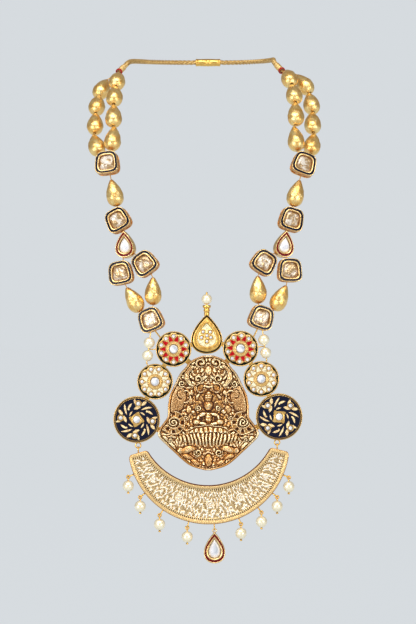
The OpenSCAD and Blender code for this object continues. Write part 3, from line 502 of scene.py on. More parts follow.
def gilt(name, ground, petal, tone=(246, 208, 132), shade=(216, 166, 88), rough=0.2,
         patina_and_shade=(74, 40, 14)):
    """Gold plate with fired enamel: the values ground and petal say where the two enamels lie,
    and a third value says where the gold darkens to its dark colour: dark patina and dark lines
    in its grooves, and painted shade in stone cups, pockets, walls and slots and along the
    discs' outer edges."""
    made = Finish(name, "enamelled_gold", Specular_IOR_Level=0.12)
    wear = made.noise(700.0, 4.0)
    enamel_a, enamel_b = made.value("ground"), made.value("petal")
    gold = made.mix(made.step(wear, 0.3, 0.7), shade, tone)
    gold = made.mix(made.value("recess"), gold, patina_and_shade)
    speck = made.noise(1500.0, 2.0)
    deep = [0.62 * c for c in ground]
    colour = made.mix(enamel_a, gold, made.mix(speck, deep, ground))
    dark, light = [0.88 * c for c in petal], [min(255, 1.15 * c + 14) for c in petal]
    colour = made.mix(enamel_b, colour, made.mix(made.step(speck, 0.38, 0.6), dark, light))
    fired = made.node("Math", {0: enamel_a, 1: enamel_b}, operation="MAXIMUM")
    made.feed("Base Color", colour)
    made.feed("Metallic", (1 - fired) * (1 - made.value("recess") * 0.5))
    made.feed("Roughness", (1 - fired) * (wear * 0.2 + rough) + fired * 0.14
              + made.value("recess") * 0.25)
    made.bump(wear * (1 - fired) + speck * 0.2, 0.00012, 0.5)
    return made


# The dark colour of this gilt is an orange painted shade for the squares' walls, slots and pocket.
navy_gilt = gilt("gold_with_navy_line", (20, 24, 50), (240, 232, 208), (255, 228, 168),
                 (230, 188, 116), patina_and_shade=(168, 84, 12))
square_half, around_points, gallery_slots = 6.5, 128, 12
square_steps = np.array([
    (3.0, -2.7), (0.35, -2.7), (0.08, -2.55), (0.0, -2.3), (0.0, -1.9), (0.5, -1.65),
    (0.5, -0.15), (0.0, 0.1), (0.0, 0.35), (0.1, 0.5), (0.1, 0.7), (0.0, 0.85), (0.0, 2.3),
    (0.06, 2.58), (0.18, 2.69), (0.3, 2.68), (0.38, 2.6), (0.42, 2.5), (0.9, 2.54), (1.38, 2.5),
    (1.44, 2.6), (1.6, 2.7), (1.85, 2.69), (2.05, 2.5), (2.14, 2.2), (2.16, 1.2), (2.28, 0.7),
    (3.4, 0.55)])
step_number = np.arange(len(square_steps))[:, None]
navy_step = (step_number >= 17) & (step_number <= 19)
slot_step = (step_number == 5) | (step_number == 6)
wall_step, floor_step = (step_number >= 4) & (step_number <= 12), step_number >= 24


def square_setting(piece, row):
    """The cushion carried through its steps; slots are cut in the gallery where a square wave
    round the wall is high, and the ribs between them stay out. The slots, the walls and the
    stone's pocket are darkened with painted shade."""
    loop = cushion(around_points)
    slots = smooth(np.cos(2 * np.pi * gallery_slots * share_round(loop)), -0.55, -0.2)
    inset = square_steps[:, :1] * np.where(slot_step, slots, 1)
    height = np.repeat(square_steps[:, 1:], around_points, axis=1)
    rings = np.concatenate([loop * (square_half - inset)[..., None], height[..., None]], axis=-1)
    # Painted shade: dark in the sunk slots, and over the walls and the stone's pocket floor.
    recess = np.maximum(slot_step * slots, 0.55 * (wall_step | floor_step))
    piece.wrap(facing(rings, row), ground=navy_step, petal=0, recess=recess)


foiled_stone = Finish("foiled_polki_stone", "polki_stone", Coat_Weight=0.5, Coat_Roughness=0.05)
inner = foiled_stone.noise(290.0, 2.0)
fine = foiled_stone.noise(700.0, 2.0)
foil = foiled_stone.mix(foiled_stone.step(inner, 0.46, 0.62), (178, 150, 110), (216, 208, 196))
foiled_stone.feed("Base Color", foiled_stone.mix(foiled_stone.step(fine, 0.55, 0.66), foil,
                                                 (138, 102, 66)))
foiled_stone.feed("Metallic", 0.45 - foiled_stone.step(inner, 0.42, 0.6) * 0.35)
foiled_stone.feed("Roughness", foiled_stone.step(fine, 0.3, 0.8) * 0.16 + 0.12)
foiled_stone.bump(inner, 0.0009, 0.6)


def cut_stone(loop, height, table=0.62, girdle=0.3):
    """A rose cut stone: an upright girdle, two rows of sloping facets and a flat table; the rows
    stand half a step round from each other."""
    n = len(loop)
    half = (loop + np.roll(loop, -1, axis=0)) / 2
    low = np.column_stack([loop, np.zeros(n)])
    edge = np.column_stack([loop, np.full(n, height * girdle)])
    crown = np.column_stack([half * (0.5 + table / 2), np.full(n, height * 0.76)])
    top = np.column_stack([loop * table, np.full(n, height)])
    points = np.concatenate([low, edge, crown, top])
    i, j = np.arange(n), (np.arange(n) + 1) % n
    walls = np.stack([i, j, n + j, n + i], axis=1)
    facets = [np.stack([n + i, n + j, 2 * n + i], axis=1),
              np.stack([n + j, 2 * n + j, 2 * n + i], axis=1),
              np.stack([2 * n + i, 2 * n + j, 3 * n + j], axis=1),
              np.stack([2 * n + i, 3 * n + j, 3 * n + i], axis=1)]
    return points, [walls] + facets + [i[::-1][None], (3 * n + i)[None]]


def on_table(points):
    """1 on a cut stone's table, the last of its four rings of points, and 0 elsewhere."""
    return (np.arange(len(points)) >= len(points) * 3 // 4) * 1.0


for side, rows in square_places.items():
    stones = Piece(f"{side}_square_stones", foiled_stone)
    for i, row in enumerate(rows):
        setting = Piece(f"{side}_square_{i + 1}", navy_gilt)
        square_setting(setting, row)
        setting.put(angle=45)
        points, faces = cut_stone(cushion(16) * 4.25, 1.75, 0.66)
        points[:, 2] += 0.65
        stones.add(facing(points, row), faces)
    stones.put(smooth=False)


# The teardrop settings in the strands. The same construction with a plain wall, a thin line of
# dark red enamel and a clear stone over silver foil.

tear_places = {"left": (-45.4, 37, 5, -16, 5, 5), "right": (41.8, 37.2, 5, 16, 5, -9)}
red_line_gilt = gilt("gold_with_red_line", (122, 6, 18), (240, 232, 208), (255, 230, 172),
                     (236, 194, 122))


def silver_stone(name, scale, foil, tones, shade, depth, rough, strength, **settings):
    """Clear stone over silver foil: two tones where a noise steps through the foil's pair of
    values, and a painted shade, its colour times depth, where the value table is high."""
    made = Finish(name, "polki_stone", Coat_Weight=1.0, Coat_Roughness=0.02, **settings)
    inner = made.noise(scale, 1.5)
    seen = made.mix(made.step(inner, *foil), tones[0], tones[1])
    made.feed("Base Color", made.mix(made.value("table") * depth, seen, shade))
    made.feed("Roughness", inner * 0.1 + rough)
    made.bump(inner, 0.0003, strength)
    return made


clear_stone = silver_stone("silver_foiled_stone", 300.0, (0.4, 0.62),
                           ((234, 234, 240), (255, 255, 255)), (140, 152, 168), 0.25, 0.1, 0.3,
                           Metallic=0.1)


def tear_setting(piece, row, width, height, thick, pocket):
    """The teardrop carried through its steps. Down to the line's inner edge it is drawn in 1.45
    times faster at the tip than across, and from there evenly to the stone's pocket."""
    top, line_in, count = thick / 2, 1.4, 96
    steps = [(3.0, -top), (0.35, -top), (0.08, 0.15 - top), (0.0, 0.4 - top), (0.0, top - 0.9),
             (0.04, top - 0.85), (0.04, top - 0.7), (0.0, top - 0.65), (0.0, top - 0.4),
             (0.08, top - 0.12), (0.2, top - 0.02), (0.36, top - 0.03), (0.46, top - 0.12),
             (0.5, top - 0.2), (0.92, top - 0.16), (1.36, top - 0.2), (1.42, top - 0.1),
             (1.5, top), (1.64, top - 0.02), (1.8, top - 0.14), (1.94, top - 0.4),
             (1.98, top - 1.4), (2.05, top - 2.05), (2.4, top - 2.1)]

    def outline(inset):
        rim = np.array([width, height]) - np.array([2, 2.9]) * min(inset, line_in)
        share = max(inset - line_in, 0) / (2 - line_in)
        size = rim + (np.array(pocket) - rim) * share
        return pear(*size, count) - [0, 0.02 * height * min(inset / 2, 1)]

    rings = np.stack([np.column_stack([outline(inset), np.full(count, z)]) for inset, z in steps])
    number = np.arange(len(steps))[:, None]
    # From step 20 on, down the bezel into the pocket, the gold is darkened with painted shade.
    piece.wrap(facing(rings, row), ground=(number >= 13) & (number <= 15), petal=0,
               recess=0.3 * (number >= 20))


tear_stones = Piece("tear_stones", clear_stone)
for side, row in tear_places.items():
    setting = Piece(f"{side}_tear_setting", red_line_gilt)
    tear_setting(setting, row, 10.6, 15, 5.4, (6.6, 9))
    setting.put(angle=45)
    points, faces = cut_stone(pear(6.2, 8.5, 14) + [0, -0.3], 1.9, 0.55)
    points[:, 2] += 0.62
    # The whole table takes the painted shade.
    tear_stones.add(facing(points, row), faces, table=on_table(points))
tear_stones.put(smooth=False)


# The pendant's discs. Seven enamelled gold cups are soldered rim to rim into an arch. Each flower
# disc has a scalloped gold face with a ring of foiled stones and enamel petals round a larger
# stone, inside a channel of black-green enamel.

red_discs = [(-18.9, -20.4), (17.9, -20.1)]
cream_discs = [(-29.1, -38.3), (29.3, -36.8)]
blue_discs = [(-39.2, -59.1), (39.1, -57.6)]
flower_radius, flower_stone_at, blue_radius, disc_thick = 9.8, 7.1, 12.8, 3.2


def on_front(points, x, z):
    """Points drawn flat, front up, stood in the plane of the pendant at (x, z)."""
    return facing(points, (x, z, 0, 0, 0, 0))


def cup(piece, at, radius, thick, turn, face, steps, sides):
    """A round cup: a closed back and wall, and a front whose height and values are worked out by
    the face at every radius and angle of a polar grid."""
    front = thick / 2
    wall = np.array([(radius - 4, -front), (radius - 0.3, -front), (radius, 0.3 - front),
                     (radius, front - 0.35), (radius - 0.04, front - 0.14)])
    out = np.append(wall[:, 0], np.linspace(radius - 0.14, 0.25, steps))
    r, angle = np.meshgrid(out, full_turn(sides), indexing="ij")
    height, values = face(r[len(wall):], angle[len(wall):])
    z = np.concatenate([np.repeat(wall[:, 1:], sides, axis=1), front + height])
    rings = np.concatenate([r[..., None] * ray(angle + turn), z[..., None]], axis=-1)
    piece.wrap(on_front(rings, *at), **{name: np.pad(value, ((len(wall), 0), (0, 0)))
                                        for name, value in values.items()})


def ridge(distance, width):
    """1 on the line, falling to 0 as exp(-(distance / width)^2)."""
    return np.exp(-(distance / width) ** 2)


def flower_face(petal_half, up):
    """The face of a flower disc: rim, channel, scalloped edge, ten stone cups with collars, ten
    pointed petals between them and the beaded collar of the centre stone. The scalloped edge
    lies 0.3 above the middle, so the channel is wider below; up is that way's angle."""
    def face(r, a):
        x, y = r * np.cos(a) - 0.3 * np.cos(up), r * np.sin(a) - 0.3 * np.sin(up)
        edge = 7.75 + 0.9 * np.abs(np.cos(5 * np.arctan2(y, x))) ** 0.8 - np.hypot(x, y)
        channel = smooth(-edge, -0.05, 0.1) * smooth(flower_radius - 0.4 - r, 0, 0.12)
        fold = (a + np.pi / 10) % (np.pi / 5) - np.pi / 10
        stone = np.hypot(r * np.cos(fold) - flower_stone_at, r * np.sin(fold))
        half = a % (np.pi / 5) - np.pi / 10
        along_petal, across = r * np.cos(half), np.abs(r * np.sin(half))
        width = petal_half * (1 - np.clip((along_petal - 4.3) / 3.4, 0, 1) ** 1.6)
        inside = np.minimum(width - across, np.minimum(along_petal - 4.3, 7.6 - along_petal))
        petal = smooth(inside, -0.05, 0.07)
        height = -0.28 * channel - 0.1 * smooth(0.3 - edge, 0, 0.3) * (1 - channel)
        height = height + 0.12 * ridge(stone - 1.42, 0.16) + 0.14 * ridge(r - 2.9, 0.2)
        height = height + 0.12 * ridge(r - 3.55, 0.25) * np.abs(np.cos(10 * a))
        height = height - 0.14 * petal + 0.05 * ridge(inside + 0.16, 0.1)
        height = np.where(stone < 1.15, -0.7, height)
        height = np.where(r < 2.52, -1.2, height)
        # Darkening: dark lines round the petals and collars and between the collar's beads, painted
        # shade in the stone cups, and painted shade along the disc's outer edge.
        recess = 0.6 * ridge(inside + 0.1, 0.13) * (stone > 1.2) * (r > 3.3)
        recess = recess + 0.6 * (stone < 1.15) + 0.8 * ridge(r - 2.62, 0.16)
        recess = recess + 0.35 * ridge(stone - 1.68, 0.14) * (edge > 0.25)
        recess = recess + 0.4 * ridge(r - 3.5, 0.3) * np.abs(np.sin(10 * a)) ** 3
        recess = recess + 0.6 * smooth(r - flower_radius + 0.32, 0, 0.2)
        return height, {"ground": channel, "petal": petal, "recess": np.clip(recess, 0, 1)}
    return face


ruby_gilt = gilt("gold_with_ruby_petals", (5, 14, 8), (160, 8, 16), (250, 216, 146),
                 (222, 174, 98), 0.26)
cream_gilt = gilt("gold_with_cream_petals", (8, 22, 10), (216, 201, 170), (244, 208, 138),
                  (222, 172, 98), 0.26)
small_stone = silver_stone("small_foiled_stone", 620.0, (0.3, 0.45),
                           ((196, 202, 214), (250, 252, 255)), (150, 160, 176), 0.75, 0.03, 0.6)


def circle(radius, count):
    return radius * ray(full_turn(count))


def turned(points, angle):
    """Points turned counterclockwise in their own plane."""
    (c, s), x, y = ray(angle), points[..., :1], points[..., 1:2]
    return np.concatenate([x * c - y * s, x * s + y * c, points[..., 2:]], axis=-1)


def set_stone(piece, at, loop, height, place, base, turn, table):
    """A cut stone in its cup; a painted shade lies on its table, the darker, the more it lies
    to the lower right.
    """
    points, faces = cut_stone(loop, height, table)
    points = points + [*place, base]
    side = np.tile(loop @ [0.8, -0.6], 4) / np.abs(loop).max()
    piece.add(on_front(turned(points, turn), *at), faces,
              table=on_table(points) * np.clip(0.5 + 0.8 * side, 0, 1))


for name, discs, finish, half, turns in (
        ("red", red_discs, ruby_gilt, 1.2, (90, 86)),
        ("cream", cream_discs, cream_gilt, 1.3, (0, 18))):
    stones = Piece(f"{name}_disc_stones", small_stone)
    cups = Piece(f"{name}_discs", finish, instead="pendant_frame")
    for at, degrees in zip(discs, turns):
        turn = np.radians(degrees)
        face = flower_face(half, np.pi / 2 - turn)
        cup(cups, at, flower_radius, disc_thick, turn, face, 66, 260)
        set_stone(stones, at, circle(2.5, 12), 1.55, (0, 0), 0.34, turn, 0.6)
        for place in circle(flower_stone_at, 10):
            set_stone(stones, at, circle(1.12, 8), 0.95, place, 0.72, turn, 0.5)
    cups.put(angle=50)
    stones.put(smooth=False)


# The blue discs. Navy enamel with a whirl of raised leaves: a star collar round the middle stone,
# and four sprays, each with a stone, two broad leaves beside it and two long ones behind.

# Its near-black dark colour gives the dark line, and the painted shade in cups and at the edge.
blue_gilt = gilt("gold_with_navy_field", (24, 28, 52), (232, 190, 140), rough=0.24,
                 patina_and_shade=(12, 18, 10))
blue_turns, blue_stone_at = (-6, 45), 8.8
leaves = [(6.3, 3, 2.0, 0.85, -64, 0.3), (9.6, -19, 1.8, 0.85, -44, 0.2),
          (9.4, 9, 2.2, 0.75, 28, 0.2), (8.1, -37, 3.2, 0.55, -72, 0.7),
          (8.0, -56, 2.2, 0.6, -115, 0.4), (4.5, -41, 1.6, 0.45, -116, 0.4),
          (7.0, -46, 0.45, 0.45, 0, 0.0)]


def blue_face(r, a):
    """The face of a blue disc: each leaf is where its half width (1 - u^2), u being the share
    along it, is more than the distance from its bent middle line; repeated every quarter."""
    field = smooth(11.65 - r, -0.06, 0.06)
    raised = np.zeros_like(r)
    for quarter in range(4):
        for at, degrees, half_length, half_width, lie, bend in leaves:
            b = np.radians(degrees + 90 * quarter)
            x, y = r * np.cos(a) - at * np.cos(b), r * np.sin(a) - at * np.sin(b)
            c, s = np.cos(np.radians(lie + 90 * quarter)), np.sin(np.radians(lie + 90 * quarter))
            u, v = (x * c + y * s) / half_length, y * c - x * s
            v = v - bend * (1 - u * u) * 0.5
            raised = np.maximum(raised, smooth(half_width * (1 - u * u) - np.abs(v), -0.02, 0.12))
    quarter_fold = (a + np.pi / 4) % (np.pi / 2) - np.pi / 4
    stone = np.hypot(r * np.cos(quarter_fold) - blue_stone_at, r * np.sin(quarter_fold))
    collar = smooth(1.85 - stone, -0.05, 0.1)
    star = smooth(3.15 + 1.2 * np.abs(np.cos(2 * a + 0.25 * (r - 3))) ** 6 - r, -0.06, 0.1)
    gold = np.maximum(collar, star)
    line = smooth(r - 11.9, -0.06, 0.06) * smooth(12.3 - r, -0.06, 0.06)
    ground = np.maximum(field * (1 - np.maximum(gold, raised)), 0.85 * line)
    height = -0.4 * field + 0.22 * raised + 0.4 * gold - 0.3 * line
    height = height - 0.9 * np.clip(r - 12.45, 0, 1) ** 2
    height = np.minimum(height, 0.02) + 0.1 * ridge(stone - 1.6, 0.16) + 0.1 * ridge(r - 2.4, 0.2)
    height = np.where((stone < 1.36) | (r < 2.12), -0.8, height)
    # Darkening: the dark line, a ring round each stone's collar, painted shade in the stone cups
    # and
    # a light painted shade along the outer edge.
    recess = line + 0.6 * ((stone < 1.4) | (r < 2.16)) + 0.5 * ridge(stone - 1.85, 0.12)
    recess = recess + 0.15 * smooth(r - blue_radius + 0.32, 0, 0.2)
    return height, {"ground": ground, "petal": raised * (1 - gold) * field,
                    "recess": np.clip(recess, 0, 1)}


stones = Piece("blue_disc_stones", small_stone)
cups = Piece("blue_discs", blue_gilt, instead="pendant_frame")
for at, degrees in zip(blue_discs, blue_turns):
    turn = np.radians(degrees)
    cup(cups, at, blue_radius, disc_thick, turn, blue_face, 96, 320)
    set_stone(stones, at, circle(2.05, 12), 1.3, (0, 0), 0.72, turn, 0.55)
    for place in circle(blue_stone_at, 4):
        set_stone(stones, at, circle(1.22, 8), 0.95, place, 0.72, turn, 0.5)
cups.put(angle=50)
stones.put(smooth=False)


# The teardrop at the top of the arch. A broad border is chased with a punch and polished, round
# a cream enamel field with six collared stones; a turned finial and a pearl are pinned on top.

top_drop, field_down, pearl_up = (-0.7, -12.0), 2.2, 19
top_stones = [(0.1, 1.2), (-2, 3.3), (1.9, 3.2), (-2.9, 0.2), (2.3, 0.2), (0.1, -1.9)]
top_gilt = gilt("chased_gold_with_cream", (8, 16, 10), (232, 210, 172), (250, 208, 120),
                (222, 168, 82), 0.22)
top_piece = Piece("top_drop", top_gilt, instead="pendant_frame")
count = 320
inset = np.append([5.0, 0.35, 0.05, 0.0, 0.0, 0.1], np.linspace(0.3, 3.5, 30))
base = np.append([-1.8, -1.8, -1.55, -1.2, 1.3, 1.55], np.full(30, 1.6))
shrink = np.linspace(0.97, 0.02, 34)
rings = [pear(17.4 - 2 * i, 22 - 2.57 * i, count) + [0, -0.17 * i] for i in inset]
rings += [rings[-1] * k + np.array([0, -2.4]) * (1 - k) for k in shrink]
rings = np.array(rings)
depth_in = np.append(inset, np.full(len(shrink), 9.0))[:, None] * np.ones(count)
z = np.append(base, np.full(len(shrink), 1.3))[:, None] * np.ones(count)
line = smooth(depth_in, 0.33, 0.45) * smooth(1.15 - depth_in, 0, 0.1)
field = (depth_in > 8).astype(float)
border = smooth(depth_in, 1.05, 1.15) * (1 - field) * (z > 1.58)
swell = np.sqrt(np.clip(1 - ((depth_in - 2.3) / 1.35) ** 2, 0, 1))
marks = np.abs(np.sin(2 * np.pi * 34 * share_round(rings[10])[None, :] + depth_in * 1.3))
z = z - 0.22 * line + border * (0.45 * swell - 0.16 + 0.07 * marks * swell)
collars, cups_in = np.zeros_like(z), np.zeros_like(z)
for sx, sy in top_stones:
    away = np.hypot(rings[..., 0] - sx, rings[..., 1] - sy + field_down)
    collars = np.maximum(collars, ridge(away - 1.3, 0.3))
    cups_in = np.maximum(cups_in, smooth(0.98 - away, -0.05, 0.05))
stem = ridge(rings[..., 0], 0.16) * smooth(rings[..., 1], 0.6, 1.2) * smooth(
    4.4 - rings[..., 1], 0, 0.8)
gold_in = np.clip(collars * 1.5 + stem + cups_in, 0, 1)
z = z + field * (0.22 * collars + 0.08 * stem) - 0.5 * field * cups_in
# Darkening: between the punch marks and in a line round the field, and painted shade in the
# stone cups.
recess = 0.35 * border * (1 - marks) + 0.6 * field * cups_in + 0.7 * ridge(depth_in - 3.45, 0.12)
top_piece.wrap(on_front(np.concatenate([rings, z[..., None]], axis=-1), *top_drop), ground=line,
               petal=field * (1 - gold_in), recess=np.clip(recess, 0, 1))
top_piece.put(angle=50)

stones = Piece("top_drop_stones", small_stone)
for sx, sy in top_stones:
    set_stone(stones, top_drop, circle(0.83, 8), 0.95, (sx, sy - field_down), 0.92, 0.0, 0.5)
stones.put(smooth=False)

finial = Piece("finial", plain_gold, instead="pendant_frame")
turning = [(0.3, 9.4), (1.3, 9.4), (1.4, 10.2), (1.5, 11.0), (1.5, 11.5), (1.35, 11.8),
           (1.35, 12.0), (1.6, 12.2), (1.75, 12.6), (1.75, 12.9), (1.6, 13.3), (1.4, 13.5),
           (1.4, 13.8), (1.7, 14.0), (2.1, 14.4), (2.25, 14.9), (2.25, 15.5), (2.0, 15.8),
           (0.36, 15.8), (0.35, 21.6), (0.45, 21.7), (0.55, 22.0), (0.6, 22.3), (0.5, 22.7),
           (0.3, 22.92), (0.05, 23.0)]
finial.wrap(around(turning, spot(*top_drop), (0, 0, 1), 48))
finial.put(angle=40)

nacre = Finish("pearl_nacre", "pearl", Coat_Weight=1.0, Coat_Roughness=0.08, Metallic=0.45)
cloud = nacre.noise(420.0, 2.0)
nacre.feed("Base Color", nacre.mix(nacre.step(cloud, 0.3, 0.75), (246, 232, 196),
                                   (255, 249, 224)))
nacre.feed("Roughness", cloud * 0.1 + 0.26)


def pearl(piece, at, radius, axis, seed):
    """A drilled pearl: a sphere a little out of round, r = R (1 + small waves), to its bore."""
    t = np.radians(np.linspace(170.6, 9.4, 34))
    r, z = radius * np.sin(t), radius * np.cos(t)
    wall = np.linspace(z[-1] - 0.2, z[0] + 0.2, 5)
    profile = np.column_stack([np.append(r, np.full(len(wall), 0.5)), np.append(z, wall)])
    p = np.random.default_rng(seed).uniform(0, 2 * np.pi, 3)
    outer = (np.arange(len(profile)) < len(t))[:, None]

    def uneven(a, h):
        return outer * radius * (0.008 * np.sin(2 * a + p[0]) * np.cos(h + p[1])
                                 + 0.005 * np.sin(3 * a + p[2] + 1.5 * h) - 0.008)

    piece.wrap(around(profile, at, axis, 40, uneven), round_trip=True)


drop_pearl = Piece("finial_pearl", nacre)
pearl(drop_pearl, spot(top_drop[0], top_drop[1] + pearl_up), 2.92, (0, 0, 1), 1)
drop_pearl.put()


# The solder, lugs, rings and pearl wires behind and beside the discs. They are plain drawn wire
# and flat gold strip, melted on.

side_pearls = [[(-32.3, -17), (-33.2, -24.1)], [(30.7, -15.3), (31.7, -22.5)]]
link_wires = [[(-26, -14.3), (-29.4, -10)], [(24.9, -13.9), (27.2, -9.4)]]
hinge_ends, ring_radius = [(-38.4, -74.8), (38.0, -73.1)], 1.45
fittings = Piece("soldered_fittings", plain_gold, instead="pendant_frame")


def wire(piece, ends, radius):
    """A straight wire with softly rounded ends between two places."""
    a, b = [np.asarray(e, float) for e in ends]
    length = np.linalg.norm(b - a)
    cap = radius * np.array([(0.25, 0.0), (0.8, 0.06), (1.0, 0.25)])
    profile = np.concatenate([cap, [0, length] + cap[::-1] * [1, -1]])
    piece.wrap(around(profile, a, b - a, 14))


def hoop(radius, wire_radius, sides=56):
    """Rings of a torus round the third axis."""
    a, b = full_turn(sides)[:, None], full_turn(14)[None, :]
    out = radius + wire_radius * np.cos(b)
    return np.stack([out * np.cos(a), out * np.sin(a),
                     wire_radius * np.sin(b) * np.ones_like(a)], axis=-1)


def strip(piece, start, toward, low, high, half_width=1.5):
    """A flat bar from 1.5 before the start to its far end, between two heights."""
    start, toward = np.array(start), np.array(toward)
    d = unit(toward - start)
    side = np.array([-d[1], d[0]])
    flat = [start - 1.5 * d - half_width * side, toward - half_width * side,
            toward + half_width * side, start - 1.5 * d + half_width * side]
    piece.wrap(on_front(np.array([[(*p, z) for p in flat] for z in (low, high)]), 0, 0))


for side in (0, 1):
    red, cream, blue = [np.array(d[side]) for d in (red_discs, cream_discs, blue_discs)]
    sign = 2 * side - 1
    share = flower_radius / (flower_radius + blue_radius)
    joins = [red + (np.array([top_drop[0], red[1] + 4.5]) - red) * 0.53,
             (red + cream) / 2, cream + (blue - cream) * share]
    for join in joins:
        fittings.wrap(around([(0.9, -1.2), (1.3, -1.05), (1.3, 0.3), (1.05, 0.6)], spot(*join),
                             (0, -1, 0), 28))
    strip(fittings, blue, (24.5 * sign, blue[1] - 7), -2.5, -1.5)
    strip(fittings, red, (8.5 * sign, red[1] - 9), -2.5, -1.5)
    top, low = [np.array(p) for p in side_pearls[side]]
    stem = unit(low - top)
    knot, foot = (top + low) / 2, low + stem * 4.0
    wire(fittings, (spot(*(top - 6 * stem)), spot(*foot)), 0.3)
    for start, disc in ((knot, red), (foot, cream)):
        reach = np.linalg.norm(disc - start) - flower_radius + 0.5
        wire(fittings, (spot(*start), spot(*(start + unit(disc - start) * reach))), 0.3)
    ball = np.radians(np.linspace(174, 6, 12))
    fittings.wrap(around(0.45 * ray(ball)[:, ::-1], spot(*foot), (0, 0, 1), 20))
    wire(fittings, [spot(*p) for p in link_wires[side]], 0.4)
    x, z = hinge_ends[side]
    fittings.wrap(on_front(hoop(ring_radius, 0.35), x, z + ring_radius), round_trip=True)
    pair = Piece(("left", "right")[side] + "_side_pearls", nacre)
    for k, p in enumerate((top, low)):
        pearl(pair, spot(*p), 3.1, (stem[0], 0, stem[1]), 10 * side + k + 2)
    pair.put()
fittings.put(angle=40)


# The temple plate. It is cast gold with a dark patina rubbed back on the high places: a generic
# seated figure between two elephants, under a crest of scrolls and on a lotus, in dense foliage.

plate_x, plate_top, plate_height, plate_back, plate_thick = 0.2, -23.9, 63.1, -1.4, 2
plate_outline = np.array([
    [0, 2.6], [0.8, 5.6], [2, 8.2], [3.7, 10.8], [6.4, 12.4], [9.2, 15.2], [12, 16.8],
    [16.1, 18.6], [18.3, 19.6], [21.8, 21.3], [27.3, 22.2], [33.9, 22.3], [37.2, 24.8],
    [40, 26.9], [42.7, 28], [44.8, 27.4], [46.3, 26.1], [50.4, 21.8], [53.7, 18.2], [56.9, 14.9],
    [60.3, 10.7], [62.1, 6.4], [63.1, 1.6]])
# Across, down, half length, half width, height, lie in degrees; each is repeated on the left
crest_forms = [
    (8.2, 4.2, 1.7, 1.0, 1.7, 50), (0, 8.4, 1.8, 2.4, 1.6, 0), (3.4, 8.2, 1.7, 1.0, 1.4, 60),
    (1.5, 13.2, 0.9, 1.7, 1.2, 0), (8.2, 15.2, 1.9, 1.1, 1.3, -30), (9.2, 20.3, 1.4, 1.4, 2.0, 0),
    (5.7, 22.4, 2.3, 1.0, 1.4, 60), (9.6, 24.6, 1.0, 2.4, 1.3, 0), (13.6, 11.6, 1.4, 0.9, 1.0, 60),
    (10.8, 29.6, 1.5, 2.2, 1.5, 0), (8.5, 30.9, 1.3, 1.3, 1.8, 0), (18.4, 29.8, 2.4, 1.5, 1.6, 70)]
figure_forms = [
    (0, 27.4, 2.7, 2.9, 2.6, 0), (0, 22.7, 2.0, 3.3, 2.1, 0), (0, 33.9, 2.1, 3.4, 2.3, 0),
    (3.3, 32.3, 2.6, 1.1, 2.0, 18), (5.6, 34.2, 2.0, 1.0, 1.9, 70), (6.4, 36.5, 2.3, 1.6, 2.2, 0),
    (3.0, 37.3, 3.0, 0.8, 2.0, -6)]
foot_forms = [
    (10.9, 51.6, 4.2, 2.0, 1.9, 14), (15.2, 52.2, 1.9, 1.7, 1.6, 0),
    (11.2, 55.5, 3.4, 1.4, 1.5, -22), (7.0, 58.6, 2.8, 1.2, 1.4, -24),
    (0, 57.6, 2.1, 3.5, 1.9, 0), (3.2, 51.9, 1.0, 1.6, 1.4, 0),
    (19.8, 49.6, 3.2, 1.1, 1.4, -44), (23.4, 45.6, 2.4, 1.0, 1.3, -40),
    (15.4, 55.2, 2.0, 0.8, 1.2, -40), (9.2, 39.9, 1.4, 1.0, 2.3, 0)]
elephant = (17.4, 24.0, 7.8, 5.0, 1, 74)
# Across, down, radius, pitch, height, sense of the spiral
plate_curls = [
    (4.1, 3.9, 3.0, 2.7, 2.0, 1), (5.6, 12.8, 2.3, 2.1, 1.8, -1),
    (5.3, 28.8, 1.9, 1.2, 1.4, -1), (14.3, 15.6, 2.2, 1.5, 1.5, 1),
    (19.0, 36.6, 3.0, 1.6, 1.9, -1), (23.8, 39.6, 2.1, 1.5, 1.6, 1), (5.9, 53.3, 2.2, 1.5, 1.8, -1),
    (12.3, 34.4, 1.7, 1.2, 1.3, 1), (20.8, 46.6, 1.6, 1.1, 1.3, -1)]


def ripples(x, y, wave, seed, count=7):
    """Soft noise: the mean of a few sine waves of about one length in seeded directions."""
    chance = np.random.default_rng(seed)
    total = np.zeros_like(x)
    for k in range(count):
        a, phase = chance.uniform(0, 2 * np.pi, 2)
        length = wave * chance.uniform(0.75, 1.35)
        total += np.sin(2 * np.pi * (x * np.cos(a) + y * np.sin(a)) / length + phase)
    return total / np.sqrt(count)


def away_from(x, down, form):
    """Share of the way out to an oval form's edge, the form turned by its lie; 1 on the edge."""
    across, low, half_length, half_width, high, lie = form
    c, s = np.cos(np.radians(lie)), np.sin(np.radians(lie))
    u, v = x - across, down - low
    return np.hypot((u * c + v * s) / half_length, (v * c - u * s) / half_width)


def curl(x, y, cx, cy, radius, pitch, top, sense):
    """A raised spiral cord: its crest lies where radius / pitch - angle / full turn is whole."""
    r, a = np.hypot(x - cx, y - cy), np.arctan2(y - cy, sense * (x - cx))
    off = np.abs((r / pitch - a / (2 * np.pi) + 0.5) % 1 - 0.5) * 2
    return top * np.sqrt(np.clip(1 - (off / 0.78) ** 2, 0, 1)) * smooth(radius - r, 0, 0.3)


def swept_leaf(ax, down, cx, cy, radius, first, last, width, top):
    """A bent leaf along an arc: its half width goes as the square root of a sine, with scallops,
    and three flutes run along it."""
    r, a = np.hypot(ax - cx, down - cy), np.degrees(np.arctan2(down - cy, ax - cx))
    t = np.clip((a - first) / (last - first), 0, 1)
    wide = width * np.sqrt(np.sin(np.pi * t)) * (0.84 + 0.16 * np.abs(np.sin(6 * np.pi * t))) + 1e-6
    off = (r - radius) / wide
    return top * np.sqrt(np.clip(1 - off ** 2, 0, 1)) * (0.86 + 0.14 * np.cos(3 * np.pi * off))


